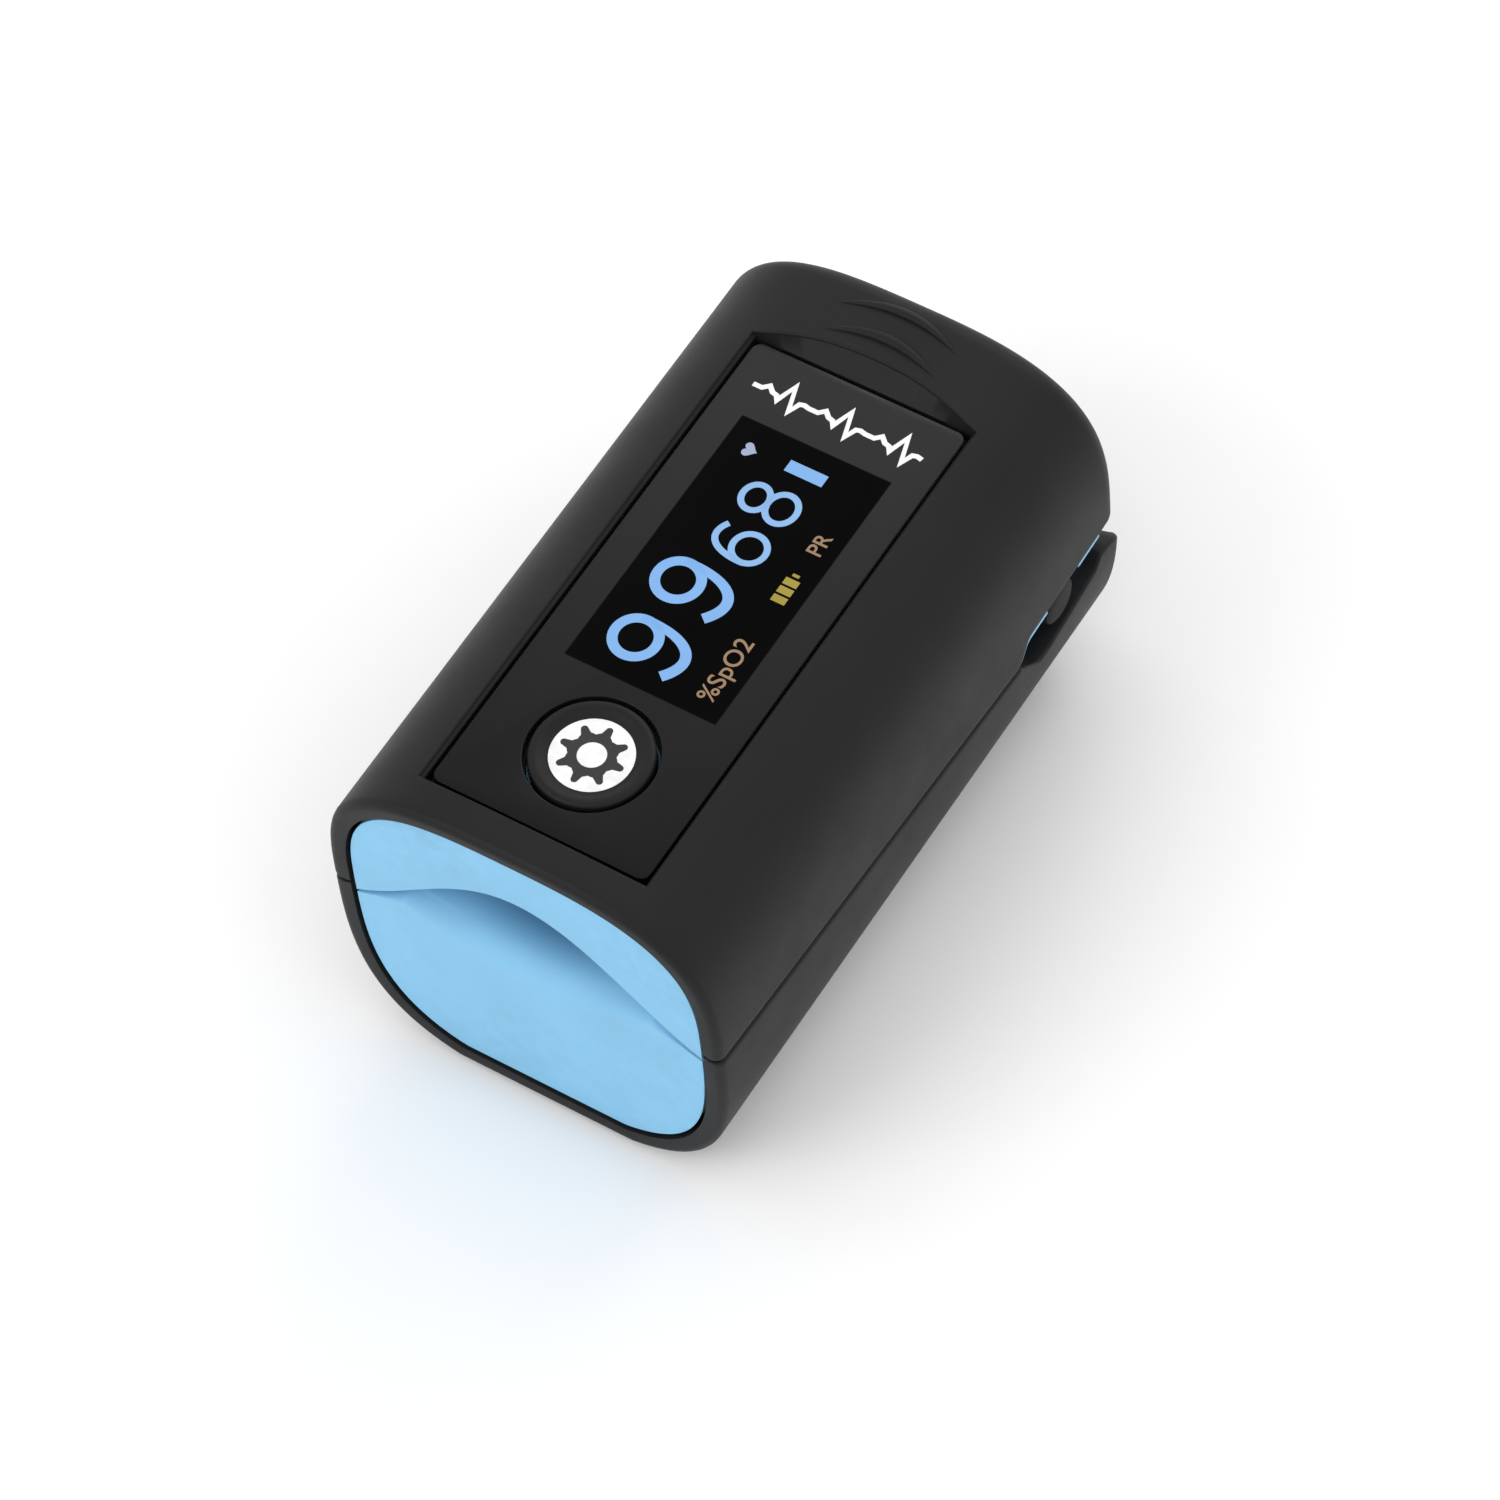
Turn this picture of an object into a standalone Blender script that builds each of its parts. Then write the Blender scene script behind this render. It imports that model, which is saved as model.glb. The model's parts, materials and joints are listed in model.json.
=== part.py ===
"""Fingertip pulse oximeter.

Two hinged halves close on a fingertip.  The upper half holds the display, the button and the
main board.  The lower half holds the finger bed, the light detector and two AAA cells.

Sizes are in millimetres and become metres where a mesh is made.  The origin lies under the
middle of the housing on the face that it rests on.  The finger enters from -Y, +Z is up, and
the hinge pin runs along X.
"""

import math

import bmesh
import bpy
from mathutils import Matrix, Vector

MM = 0.001

# Housing: its cross-section is a superellipse with a flat foot.
HALF_WIDTH = 16.4
CROWN_Z = 32.5
WIDEST_Z = 18.4
FOOT_SINK = 0.5
TOP_POWER = 3.0
BOTTOM_POWER = 3.2
FRONT_Y = -28.5
UPPER_REAR_Y = 27.7
LOWER_REAR_Y = 28.5
FRONT_ROUND = 0.7
REAR_ROUND = 1.9
LUG_ROUND = 1.6
LUG_TOP_Z = 14.4
LUG_CORNER = 3.0
TAIL_ROUND = 4.5
RING_POINTS = 60

# Walls and clearances
WALL = 1.5
GAP = 0.3
SEAM_GAP = 0.3
FRAME_WALL = 1.0
FRAME_INSET = WALL + GAP
PAD_INSET = FRAME_INSET + FRAME_WALL + GAP

# Hinge
PIVOT_Y = 19.5
PIVOT_Z = 14.8
PIN_RADIUS = 1.0
EAR_RADIUS = 2.5
CAP_RADIUS = 1.95
LOWER_EAR_X = (12.35, 13.3)
SPRING_WIRE = 0.8
SPRING_COIL_RADIUS = 1.85
SPRING_TURNS = 4
SPRING_START_X = 8.3
SPRING_PITCH = 0.9

# The seam between the shells falls gently from the front to the side slots.
SEAM_FRONT_Z = 18.0
SEAM_REAR = (13.2, 14.4)

# Finger channel
ARCH_FOOT_Z = 17.0
ARCH_RISE = 8.6
ARCH_HALF_WIDTH = 15.0
ARCH_POWER = 0.75
LIP_Z = 19.4
BED_DEPTH = 3.5
BED_HALF_WIDTH = 9.6
FLANGE_FRONT_Y = FRONT_Y + 0.3
FLANGE_BACK_Y = -26.8
PAD_END_Y = 12.0
SENSOR_Y = -7.0
WINDOW_RADIUS = 3.2

# Display panel
PANEL_HALF_WIDTH = 9.2
PANEL_FRONT_Y = -25.05
PANEL_REAR_Y = 19.4
PANEL_TOP_Z = 31.1
PANEL_FLOOR_Z = 30.0
TRAY_BOTTOM_Z = 29.2
PANEL_ARCH_RISE = 2.0
OLED_SIZE = (15.6, 26.6, 1.2)
OLED_CENTRE_Y = 0.8
BUTTON_Y = -17.55
BUTTON_RADIUS = 4.6

# Board stack in the upper half
FRAME_TOP_Z = 27.2
FRAME_CEILING_Z = 26.3
BOARD_Z = (27.5, 28.3)

# Battery bay in the lower half
BAY_CEILING_Z = (12.9, 13.7)
CELL_RADIUS = 5.25
CELL_LENGTH = 44.5
CELL_X = 5.4
CELL_Z = 7.35
BAY_WALL_Y = (-26.4, 23.4)
BAY_WALL_THICKNESS = 0.8
CONTACT_THICKNESS = 0.3
CONTACT_WIRE = 0.45
BRIDGE_Y = BAY_WALL_Y[0] + BAY_WALL_THICKNESS + 0.15
PLATE_Y = BAY_WALL_Y[1] - 0.15 - CONTACT_THICKNESS

# Battery door
DOOR_HALF_WIDTH = 7.7
DOOR_TONGUE = 1.1
DOOR_Y = (-19.2, 25.6)
DOOR_THICKNESS = 1.8
TONGUE_Z = 1.2

LOWER_SCREW = (12.1, 14.6)
UPPER_SCREW = (10.2, 16.6)

PLANES = {
    "XY": Matrix.Identity(4),
    "XZ": Matrix(((1, 0, 0, 0), (0, 0, -1, 0), (0, 1, 0, 0), (0, 0, 0, 1))),
    "YZ": Matrix(((0, 0, 1, 0), (1, 0, 0, 0), (0, 1, 0, 0), (0, 0, 0, 1))),
}


# ---------------------------------------------------------------- scene helpers

def start_scene():
    """Empty the scene and make the collections for the parts and for the cutters."""
    for item in list(bpy.data.objects):
        bpy.data.objects.remove(item, do_unlink=True)
    collections = []
    for name in ("pulse_oximeter", "cutters"):
        collection = bpy.data.collections.new(name)
        bpy.context.scene.collection.children.link(collection)
        collections.append(collection)
    return collections


PARTS, CUTTERS = start_scene()


def material(name, colour, roughness, metallic=0.0, alpha=1.0):
    """A Principled material with one colour."""
    made = bpy.data.materials.new(name)
    made.use_nodes = True
    shader = made.node_tree.nodes["Principled BSDF"]
    shader.inputs["Base Color"].default_value = (*colour, 1.0)
    shader.inputs["Roughness"].default_value = roughness
    shader.inputs["Metallic"].default_value = metallic
    shader.inputs["Alpha"].default_value = alpha
    return made


def add_mesh(name, bm):
    """Turn a bmesh in millimetres into an object in the parts collection."""
    mesh = bpy.data.meshes.new(name)
    bm.to_mesh(mesh)
    bm.free()
    mesh.transform(Matrix.Scale(MM, 4))
    made = bpy.data.objects.new(name, mesh)
    PARTS.objects.link(made)
    return made


def finish(made, skin, smooth=True):
    """Give a part its own copy of a material and smooth its round faces."""
    own = skin.copy()
    own.name = made.name + "_material"
    made.data.materials.clear()
    made.data.materials.append(own)
    if smooth:
        made.data.shade_smooth()
        made.data.set_sharp_from_angle(angle=math.radians(32))
    return made


# ---------------------------------------------------------------- shape helpers

def box(name, low, high, bevel=0.0):
    """A block between two corners, with an optional edge bevel."""
    bm = bmesh.new()
    bmesh.ops.create_cube(bm, size=1.0)
    for vertex in bm.verts:
        for axis in range(3):
            vertex.co[axis] = low[axis] if vertex.co[axis] < 0 else high[axis]
    made = add_mesh(name, bm)
    if bevel:
        soften = made.modifiers.new("edge", "BEVEL")
        soften.width = bevel * MM
        soften.segments = 2
    return made


def cylinder(name, radius, low, high, centre, axis="Z", segments=24):
    """A round bar from low to high along an axis, centred on the other two coordinates."""
    bm = bmesh.new()
    bmesh.ops.create_cone(bm, cap_ends=True, segments=segments, radius1=radius,
                          radius2=radius, depth=high - low)
    half_step = Matrix.Rotation(math.pi / segments, 4, "Z")
    middle = (low + high) / 2
    if axis == "X":
        turn = Matrix.Rotation(math.pi / 2, 4, "Y")
        place = Vector((middle, centre[0], centre[1]))
    elif axis == "Y":
        turn = Matrix.Rotation(math.pi / 2, 4, "X")
        place = Vector((centre[0], middle, centre[1]))
    else:
        turn = Matrix.Identity(4)
        place = Vector((centre[0], centre[1], middle))
    placement = Matrix.Translation(place) @ turn @ half_step
    bmesh.ops.transform(bm, matrix=placement, verts=bm.verts)
    return add_mesh(name, bm)


def mesh_from_curve(name, curve, placement=Matrix.Identity(4)):
    """Turn a curve into a closed mesh object and remove the curve."""
    source = bpy.data.objects.new(name + "_curve", curve)
    PARTS.objects.link(source)
    source.matrix_world = placement
    bpy.context.view_layer.update()
    evaluated = source.evaluated_get(bpy.context.evaluated_depsgraph_get())
    mesh = bpy.data.meshes.new_from_object(evaluated)
    mesh.name = name
    bm = bmesh.new()
    bm.from_mesh(mesh)
    bmesh.ops.remove_doubles(bm, verts=bm.verts, dist=0.001 * MM)
    bmesh.ops.recalc_face_normals(bm, faces=bm.faces)
    bm.to_mesh(mesh)
    bm.free()
    made = bpy.data.objects.new(name, mesh)
    PARTS.objects.link(made)
    made.matrix_world = source.matrix_world
    bpy.data.objects.remove(source, do_unlink=True)
    return made


def outline_solid(name, outline, low, high, plane):
    """A flat outline in a plane, made solid from low to high along the plane's normal."""
    curve = bpy.data.curves.new(name, "CURVE")
    curve.dimensions = "2D"
    curve.fill_mode = "BOTH"
    curve.extrude = (high - low) / 2 * MM
    spline = curve.splines.new("POLY")
    spline.points.add(len(outline) - 1)
    for point, (u, v) in zip(spline.points, outline):
        point.co = (u * MM, v * MM, 0.0, 1.0)
    spline.use_cyclic_u = True
    middle = (low + high) / 2 * (-1 if plane == "XZ" else 1)
    placement = PLANES[plane] @ Matrix.Translation((0, 0, middle * MM))
    made = mesh_from_curve(name, curve, placement)
    made.data.transform(made.matrix_world)
    made.matrix_world = Matrix.Identity(4)
    return made


def rounded(corners, steps=6):
    """The outline through (u, v, radius) corners, with each corner turned into an arc."""
    outline = []
    for index, (u, v, radius) in enumerate(corners):
        here = Vector((u, v))
        back = (Vector(corners[index - 1][:2]) - here).normalized()
        ahead = (Vector(corners[(index + 1) % len(corners)][:2]) - here).normalized()
        if radius == 0:
            outline.append((u, v))
            continue
        half = back.angle(ahead) / 2
        reach = radius / math.tan(half)
        centre = here + (back + ahead).normalized() * (radius / math.sin(half))
        start = here + back * reach - centre
        end = here + ahead * reach - centre
        sweep = start.angle_signed(end)
        for step in range(steps + 1):
            arm = Matrix.Rotation(-sweep * step / steps, 2) @ start
            outline.append(tuple(centre + arm))
    return outline


def loft(name, rings):
    """A closed solid through closed rings that have the same number of points."""
    bm = bmesh.new()
    loops = [[bm.verts.new(point) for point in ring] for ring in rings]
    count = len(rings[0])
    for near, far in zip(loops, loops[1:]):
        for index in range(count):
            after = (index + 1) % count
            bm.faces.new((near[index], near[after], far[after], far[index]))
    bm.faces.new(list(reversed(loops[0])))
    bm.faces.new(loops[-1])
    bmesh.ops.recalc_face_normals(bm, faces=bm.faces)
    return add_mesh(name, bm)


def turned(name, profile, centre, segments=20):
    """A profile of (radius, z) points, listed from top to bottom, turned about an upright axis."""
    mesh = bpy.data.meshes.new(name)
    points = [(radius * MM, 0.0, z * MM) for radius, z in profile]
    mesh.from_pydata(points, [(i, i + 1) for i in range(len(points) - 1)], [])
    made = bpy.data.objects.new(name, mesh)
    PARTS.objects.link(made)
    made.location = Vector(centre) * MM
    screw = made.modifiers.new("turn", "SCREW")
    screw.axis = "Z"
    screw.steps = segments
    screw.render_steps = segments
    screw.use_merge_vertices = True
    screw.merge_threshold = 0.00001
    return made


def wire(name, points, thickness):
    """A round wire along a list of points."""
    curve = bpy.data.curves.new(name, "CURVE")
    curve.dimensions = "3D"
    curve.bevel_depth = thickness / 2 * MM
    curve.bevel_resolution = 2
    curve.use_fill_caps = True
    spline = curve.splines.new("POLY")
    spline.points.add(len(points) - 1)
    for point, place in zip(spline.points, points):
        point.co = (*(Vector(place) * MM), 1.0)
    return mesh_from_curve(name, curve)


def combine(target, tool, operation):
    """Cut, join or intersect a part with another shape, which then stays as a hidden guide."""
    PARTS.objects.unlink(tool)
    CUTTERS.objects.link(tool)
    tool.hide_render = True
    tool.display_type = "WIRE"
    change = target.modifiers.new(operation.lower() + "_" + tool.name, "BOOLEAN")
    change.operation = operation
    change.object = tool
    change.solver = "EXACT"


# ---------------------------------------------------------------- design curves

def ring_point(angle, inset, floor=None, ceiling=CROWN_Z):
    """A point (x, z) of the cross-section moved in by inset, held between floor and ceiling."""
    sine = math.sin(angle)
    cosine = math.cos(angle)
    if sine >= 0:
        height = CROWN_Z - WIDEST_Z - inset
        power = TOP_POWER
    else:
        height = WIDEST_Z + FOOT_SINK - inset
        power = BOTTOM_POWER
    x = (HALF_WIDTH - inset) * math.copysign(abs(cosine) ** (2 / power), cosine)
    z = WIDEST_Z + height * math.copysign(abs(sine) ** (2 / power), sine)
    lowest = inset if floor is None else floor
    return x, min(max(z, lowest), ceiling)


def ring(y, inset, floor=None, ceiling=CROWN_Z):
    """The whole cross-section at a station y."""
    points = []
    for index in range(RING_POINTS):
        x, z = ring_point(math.tau * index / RING_POINTS, inset, floor, ceiling)
        points.append((x, y, z))
    return points


def housing_rings(rear_y, rear_round):
    """Rings of the outer housing, with a small front edge and a rounder rear edge."""
    rings = []
    for step in range(4):
        turn = math.pi / 2 * step / 3
        y = FRONT_Y + FRONT_ROUND * (1 - math.cos(turn))
        rings.append(ring(y, FRONT_ROUND * (1 - math.sin(turn))))
    for step in range(6):
        turn = math.radians(84) * step / 5
        y = rear_y - rear_round * (1 - math.sin(turn))
        rings.append(ring(y, rear_round * (1 - math.cos(turn))))
    return rings


def seam_z(y):
    """Height of the seam between the shells in front of the side slots."""
    rear_y, rear_z = SEAM_REAR
    return rear_z + (SEAM_FRONT_Z - rear_z) * (rear_y - y) / (rear_y - FRONT_Y)


def arch_z(x):
    """Height of the channel's roof, which falls from the middle to the seam at the sides."""
    reach = min(abs(x) / ARCH_HALF_WIDTH, 1.0)
    return ARCH_FOOT_Z + ARCH_RISE * (0.5 + 0.5 * math.cos(math.pi * reach)) ** ARCH_POWER


def smooth_step(low, high, value):
    """0 below low, 1 above high and a smooth rise between."""
    t = min(max((value - low) / (high - low), 0.0), 1.0)
    return t * t * (3 - 2 * t)


def bed_z(x, y):
    """Height of the lower finger bed: a lip at the front, a trough and a stop behind it."""
    depth = BED_DEPTH * smooth_step(FLANGE_FRONT_Y, -20.0, y)
    depth *= 1 - 0.8 * smooth_step(1.0, PAD_END_Y, y)
    across = max(0.0, 1 - (x / BED_HALF_WIDTH) ** 2) ** 1.3
    return min(arch_z(x) - SEAM_GAP, LIP_Z - depth * across)


def side_arc(inset, z, upper, count, floor=None, ceiling=CROWN_Z):
    """Points (x, z) of the cross-section above or below height z, from +X round to -X."""
    drop = (WIDEST_Z - z) / (WIDEST_Z + FOOT_SINK - inset)
    start = -math.asin(drop ** (BOTTOM_POWER / 2))
    if upper:
        first, last = start, math.pi - start
    else:
        first, last = start, -math.pi - start
    points = []
    for index in range(count):
        angle = first + (last - first) * index / (count - 1)
        points.append(ring_point(angle, inset, floor, ceiling))
    return points


# ---------------------------------------------------------------- side outlines (y, z)

def upper_shell_profile():
    """Side outline that keeps the upper shell."""
    tip_y = SEAM_REAR[0] - 0.2
    return rounded([
        (-32.0, seam_z(-32.0) + SEAM_GAP / 2, 0),
        (tip_y, seam_z(tip_y) + SEAM_GAP / 2, 0.3),
        (tip_y + 1.4, 16.6, 0.8),
        (30.0, 17.5, 0),
        (30.0, 40.0, 0),
        (-32.0, 40.0, 0),
    ])


def lower_shell_profile():
    """Side outline of the lower shell, with its rounded lug behind the slot."""
    rear = LOWER_REAR_Y + 0.01
    return rounded([
        (-32.0, -1.0, 0),
        (LOWER_REAR_Y - 5.4, -1.0, 0),
        (rear - 3.6, 0.75, TAIL_ROUND),
        (rear, 6.3, TAIL_ROUND),
        (rear, LUG_TOP_Z, LUG_CORNER),
        (24.9, LUG_TOP_Z, 0.5),
        (24.1, 13.3, 0.5),
        (17.4, 11.7, 1.5),
        (15.9, 11.7, 1.0),
        (SEAM_REAR[0], seam_z(SEAM_REAR[0]) - SEAM_GAP / 2, 0.3),
        (-32.0, seam_z(-32.0) - SEAM_GAP / 2, 0),
    ])


def circle_arc(radius, first, last, steps=12):
    """Points on an arc about the hinge axis, in degrees from +Y towards +Z."""
    points = []
    for step in range(steps + 1):
        angle = math.radians(first + (last - first) * step / steps)
        y = PIVOT_Y + radius * math.cos(angle)
        z = PIVOT_Z + radius * math.sin(angle)
        points.append((y, z))
    return points


def upper_frame_profile():
    """Side outline of the upper frame: its wall edge with a round ear at the hinge."""
    ear = circle_arc(EAR_RADIUS, 190, 380)
    edge = [(-32.0, seam_z(-32.0) + 0.2), (SEAM_REAR[0], seam_z(SEAM_REAR[0]) + 0.2)]
    return edge + ear + [(30.0, 15.9), (30.0, 40.0), (-32.0, 40.0)]


def ear_profile():
    """Side outline of the lower frame's hinge ear, standing on the bay ceiling."""
    foot = BAY_CEILING_Z[0] + 0.2
    return circle_arc(EAR_RADIUS, -30, 210) + [
        (PIVOT_Y - 3.2, foot),
        (PIVOT_Y + 3.2, foot),
    ]


# ---------------------------------------------------------------- housings

def recess_cutter():
    """The dished panel recess: straight walls round the lens, then a slope up to the crown."""
    def outline(z, half_width, front, rear, rise):
        points = [(half_width, front, z), (half_width, rear, z)]
        steps = 12
        for step in range(1, steps):
            x = half_width * (1 - 2 * step / steps)
            points.append((x, rear + rise * (1 - (x / half_width) ** 2), z))
        return points + [(-half_width, rear, z), (-half_width, front, z)]

    lens = (PANEL_HALF_WIDTH, PANEL_FRONT_Y, PANEL_REAR_Y, 0.0)
    crown = (PANEL_HALF_WIDTH + 0.3, PANEL_FRONT_Y - 0.8, PANEL_REAR_Y + 0.3, PANEL_ARCH_RISE)
    return loft("panel_recess", [
        outline(PANEL_FLOOR_Z, *lens),
        outline(PANEL_TOP_Z, *lens),
        outline(CROWN_Z + 0.3, *crown),
    ])


def grip_ridge(name, y, half_length, width, top_z):
    """A crescent ridge across the crown behind the panel."""
    outline = []
    steps = 10
    for step in range(steps + 1):
        x = half_length * (1 - 2 * step / steps)
        outline.append((x, y - 0.9 * (x / half_length) ** 2))
    for step in range(1, steps):
        x = half_length * (2 * step / steps - 1)
        outline.append((x, y + width - (0.9 + width) * (x / half_length) ** 2))
    return outline_solid(name, outline, CROWN_Z - 1.4, top_z, "XY")


def make_upper_shell(skin):
    """The upper cover with its panel tray, screw bosses and grip ridges."""
    shell = loft("upper_shell", housing_rings(UPPER_REAR_Y, REAR_ROUND))
    cavity = loft("upper_cavity", [
        ring(-32.0, WALL),
        ring(UPPER_REAR_Y - WALL - 0.6, WALL),
        ring(UPPER_REAR_Y - WALL, WALL + 0.6),
    ])
    combine(shell, cavity, "DIFFERENCE")
    tray = box("panel_tray", (-9.9, FLANGE_BACK_Y + 0.4, TRAY_BOTTOM_Z), (9.9, 23.0, 31.3))
    combine(shell, tray, "UNION")
    for side in (-1, 1):
        boss = cylinder("upper_boss" + ("_left" if side < 0 else "_right"), 1.35,
                        FRAME_TOP_Z + GAP, 29.6, (side * UPPER_SCREW[0], UPPER_SCREW[1]))
        combine(shell, boss, "UNION")
    ridges = (("ridge_front", 22.6, 4.6, 1.0, CROWN_Z + 0.35),
              ("ridge_middle", 24.3, 4.9, 0.8, CROWN_Z + 0.1))
    for name, y, half_length, width, top_z in ridges:
        combine(shell, grip_ridge(name, y, half_length, width, top_z), "UNION")
    combine(shell, recess_cutter(), "DIFFERENCE")
    width, length, _ = OLED_SIZE
    opening = box("display_opening",
                  (-width / 2 - GAP, OLED_CENTRE_Y - length / 2 - GAP, 28.0),
                  (width / 2 + GAP, OLED_CENTRE_Y + length / 2 + GAP, 31.0))
    combine(shell, opening, "DIFFERENCE")
    hole = cylinder("button_hole", BUTTON_RADIUS + 0.5, 28.0, 31.0, (0, BUTTON_Y), segments=40)
    combine(shell, hole, "DIFFERENCE")
    for side in (-1, 1):
        bore = cylinder("upper_bore" + ("_left" if side < 0 else "_right"), 0.8,
                        26.0, 29.3, (side * UPPER_SCREW[0], UPPER_SCREW[1]), segments=16)
        combine(shell, bore, "DIFFERENCE")
    keep = outline_solid("upper_side", upper_shell_profile(), -20.0, 20.0, "YZ")
    combine(shell, keep, "INTERSECT")
    return finish(shell, skin)


def make_lower_shell(skin):
    """The lower cover with the battery opening, door grooves and screw bosses."""
    shell = loft("lower_shell", housing_rings(LOWER_REAR_Y, LUG_ROUND))
    cavity = loft("lower_cavity", [
        ring(-32.0, WALL),
        ring(LOWER_REAR_Y - WALL - 1.0, WALL),
        ring(LOWER_REAR_Y - WALL, WALL + 1.0),
    ])
    hollow = outline_solid("lower_hollow", rounded([
        (-33.0, 0.0, 0),
        (23.2, 0.0, 0),
        (25.2, 3.4, 2.0),
        (LOWER_REAR_Y - WALL, 7.5, 2.0),
        (LOWER_REAR_Y - WALL, 40.0, 0),
        (-33.0, 40.0, 0),
    ]), -20.0, 20.0, "YZ")
    combine(cavity, hollow, "INTERSECT")
    combine(shell, cavity, "DIFFERENCE")
    for side in (-1, 1):
        boss = cylinder("lower_boss" + ("_left" if side < 0 else "_right"), 1.3,
                        4.8, BAY_CEILING_Z[0] - GAP, (side * LOWER_SCREW[0], LOWER_SCREW[1]))
        combine(shell, boss, "UNION")
        bore = cylinder("lower_bore" + ("_left" if side < 0 else "_right"), 0.8,
                        5.0, 13.0, (side * LOWER_SCREW[0], LOWER_SCREW[1]), segments=16)
        combine(shell, bore, "DIFFERENCE")
    opening = box("door_opening", (-DOOR_HALF_WIDTH - GAP, DOOR_Y[0] - GAP, -1.0),
                  (DOOR_HALF_WIDTH + GAP, 32.0, 2.2))
    combine(shell, opening, "DIFFERENCE")
    groove = box("door_grooves",
                 (-DOOR_HALF_WIDTH - DOOR_TONGUE - GAP, DOOR_Y[0] - GAP - DOOR_TONGUE, 0.95),
                 (DOOR_HALF_WIDTH + DOOR_TONGUE + GAP, 32.0, 2.6))
    combine(shell, groove, "DIFFERENCE")
    keep = outline_solid("lower_side", lower_shell_profile(), -20.0, 20.0, "YZ")
    combine(shell, keep, "INTERSECT")
    return finish(shell, skin)


def make_battery_door(skin):
    """The sliding door: a plate that ends in the tail's curve, with tongues and finger grooves."""
    half = DOOR_HALF_WIDTH
    tongue = half + DOOR_TONGUE
    draft = 0.08
    section = [(-half, 0.0), (half, 0.0), (half, TONGUE_Z), (tongue, TONGUE_Z + draft),
               (tongue, DOOR_THICKNESS), (-tongue, DOOR_THICKNESS),
               (-tongue, TONGUE_Z + draft), (-half, TONGUE_Z)]
    door = outline_solid("battery_door", section, DOOR_Y[0], DOOR_Y[1], "XZ")
    combine(door, outline_solid("door_tail", lower_shell_profile(), -20.0, 20.0, "YZ"), "INTERSECT")
    for index in range(3):
        y = 15.0 + 2.0 * index
        groove = cylinder("door_groove_%d" % index, 0.7, -5.5 + index, 5.5 - index,
                          (y, -0.35), "X", 16)
        combine(door, groove, "DIFFERENCE")
    return finish(door, skin)


# ---------------------------------------------------------------- frames and pads

def make_upper_frame(skin):
    """The rigid frame inside the upper shell, with the outer hinge ears and a spring bar."""
    stations = (FLANGE_BACK_Y + GAP, 24.6)
    frame = loft("upper_frame", [ring(y, FRAME_INSET, ceiling=FRAME_TOP_Z) for y in stations])
    inner_inset = FRAME_INSET + FRAME_WALL
    hollow = loft("upper_frame_hollow",
                  [ring(y, inner_inset, ceiling=FRAME_CEILING_Z) for y in (-32.0, 32.0)])
    combine(frame, hollow, "DIFFERENCE")
    keep = outline_solid("upper_frame_side", upper_frame_profile(), -20.0, 20.0, "YZ")
    combine(frame, keep, "INTERSECT")
    bar = box("spring_bar", (-14.0, 23.3, 17.6), (14.0, 24.5, 18.8))
    combine(frame, bar, "UNION")
    cutters = (
        cylinder("emitter_opening", WINDOW_RADIUS + 0.5, 25.5, 28.0, (0, SENSOR_Y)),
        cylinder("upper_pin_hole", PIN_RADIUS + 0.06, -18.0, 18.0, (PIVOT_Y, PIVOT_Z), "X"),
        box("flex_exit", (-2.8, 14.4, 25.5), (2.8, 17.2, 28.0)),
    )
    for cutter in cutters:
        combine(frame, cutter, "DIFFERENCE")
    for side in (-1, 1):
        hole = cylinder("upper_screw_hole" + ("_left" if side < 0 else "_right"), 0.85,
                        25.5, 28.0, (side * UPPER_SCREW[0], UPPER_SCREW[1]), segments=16)
        combine(frame, hole, "DIFFERENCE")
    return finish(frame, skin)


def make_lower_frame(skin):
    """The rigid frame over the battery bay, with the inner hinge ears and the bay's end walls."""
    stations = (FLANGE_BACK_Y + GAP, 24.4)
    frame = loft("lower_frame", [ring(y, FRAME_INSET, floor=BAY_CEILING_Z[0]) for y in stations])
    inner_inset = FRAME_INSET + FRAME_WALL
    hollow = loft("lower_frame_hollow",
                  [ring(y, inner_inset, floor=BAY_CEILING_Z[1]) for y in (-32.0, 32.0)])
    combine(frame, hollow, "DIFFERENCE")
    keep = outline_solid("lower_frame_side", rounded([
        (-32.0, 0.0, 0),
        (32.0, 0.0, 0),
        (32.0, 14.0, 0),
        (SEAM_REAR[0] + 2.4, 14.0, 0.2),
        (-32.0, seam_z(-32.0) - 0.2, 0),
    ]), -20.0, 20.0, "YZ")
    combine(frame, keep, "INTERSECT")
    for name, y in (("bay_wall_front", BAY_WALL_Y[0]), ("bay_wall_rear", BAY_WALL_Y[1])):
        wall = box(name, (-10.2, y, 3.4), (10.2, y + BAY_WALL_THICKNESS, 13.3))
        combine(frame, wall, "UNION")
    for side in (-1, 1):
        suffix = "_left" if side < 0 else "_right"
        low, high = sorted((side * LOWER_EAR_X[0], side * LOWER_EAR_X[1]))
        ear = outline_solid("lower_ear" + suffix, ear_profile(), low, high, "YZ")
        combine(frame, ear, "UNION")
        low, high = sorted((side * 13.42, side * 17.0))
        notch = cylinder("ear_notch" + suffix, EAR_RADIUS + 0.4, low, high,
                         (PIVOT_Y, PIVOT_Z), "X", 32)
        combine(frame, notch, "DIFFERENCE")
        low, high = sorted((side * 7.4, side * 12.1))
        well = box("spring_well" + suffix, (low, 16.3, 12.0), (high, 22.9, 14.5))
        combine(frame, well, "DIFFERENCE")
        hole = cylinder("lower_screw_hole" + suffix, 0.85, 12.0, 14.5,
                        (side * LOWER_SCREW[0], LOWER_SCREW[1]), segments=16)
        combine(frame, hole, "DIFFERENCE")
    pin_hole = cylinder("lower_pin_hole", PIN_RADIUS + 0.06, -18.0, 18.0,
                        (PIVOT_Y, PIVOT_Z), "X")
    combine(frame, pin_hole, "DIFFERENCE")
    return finish(frame, skin)


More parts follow.
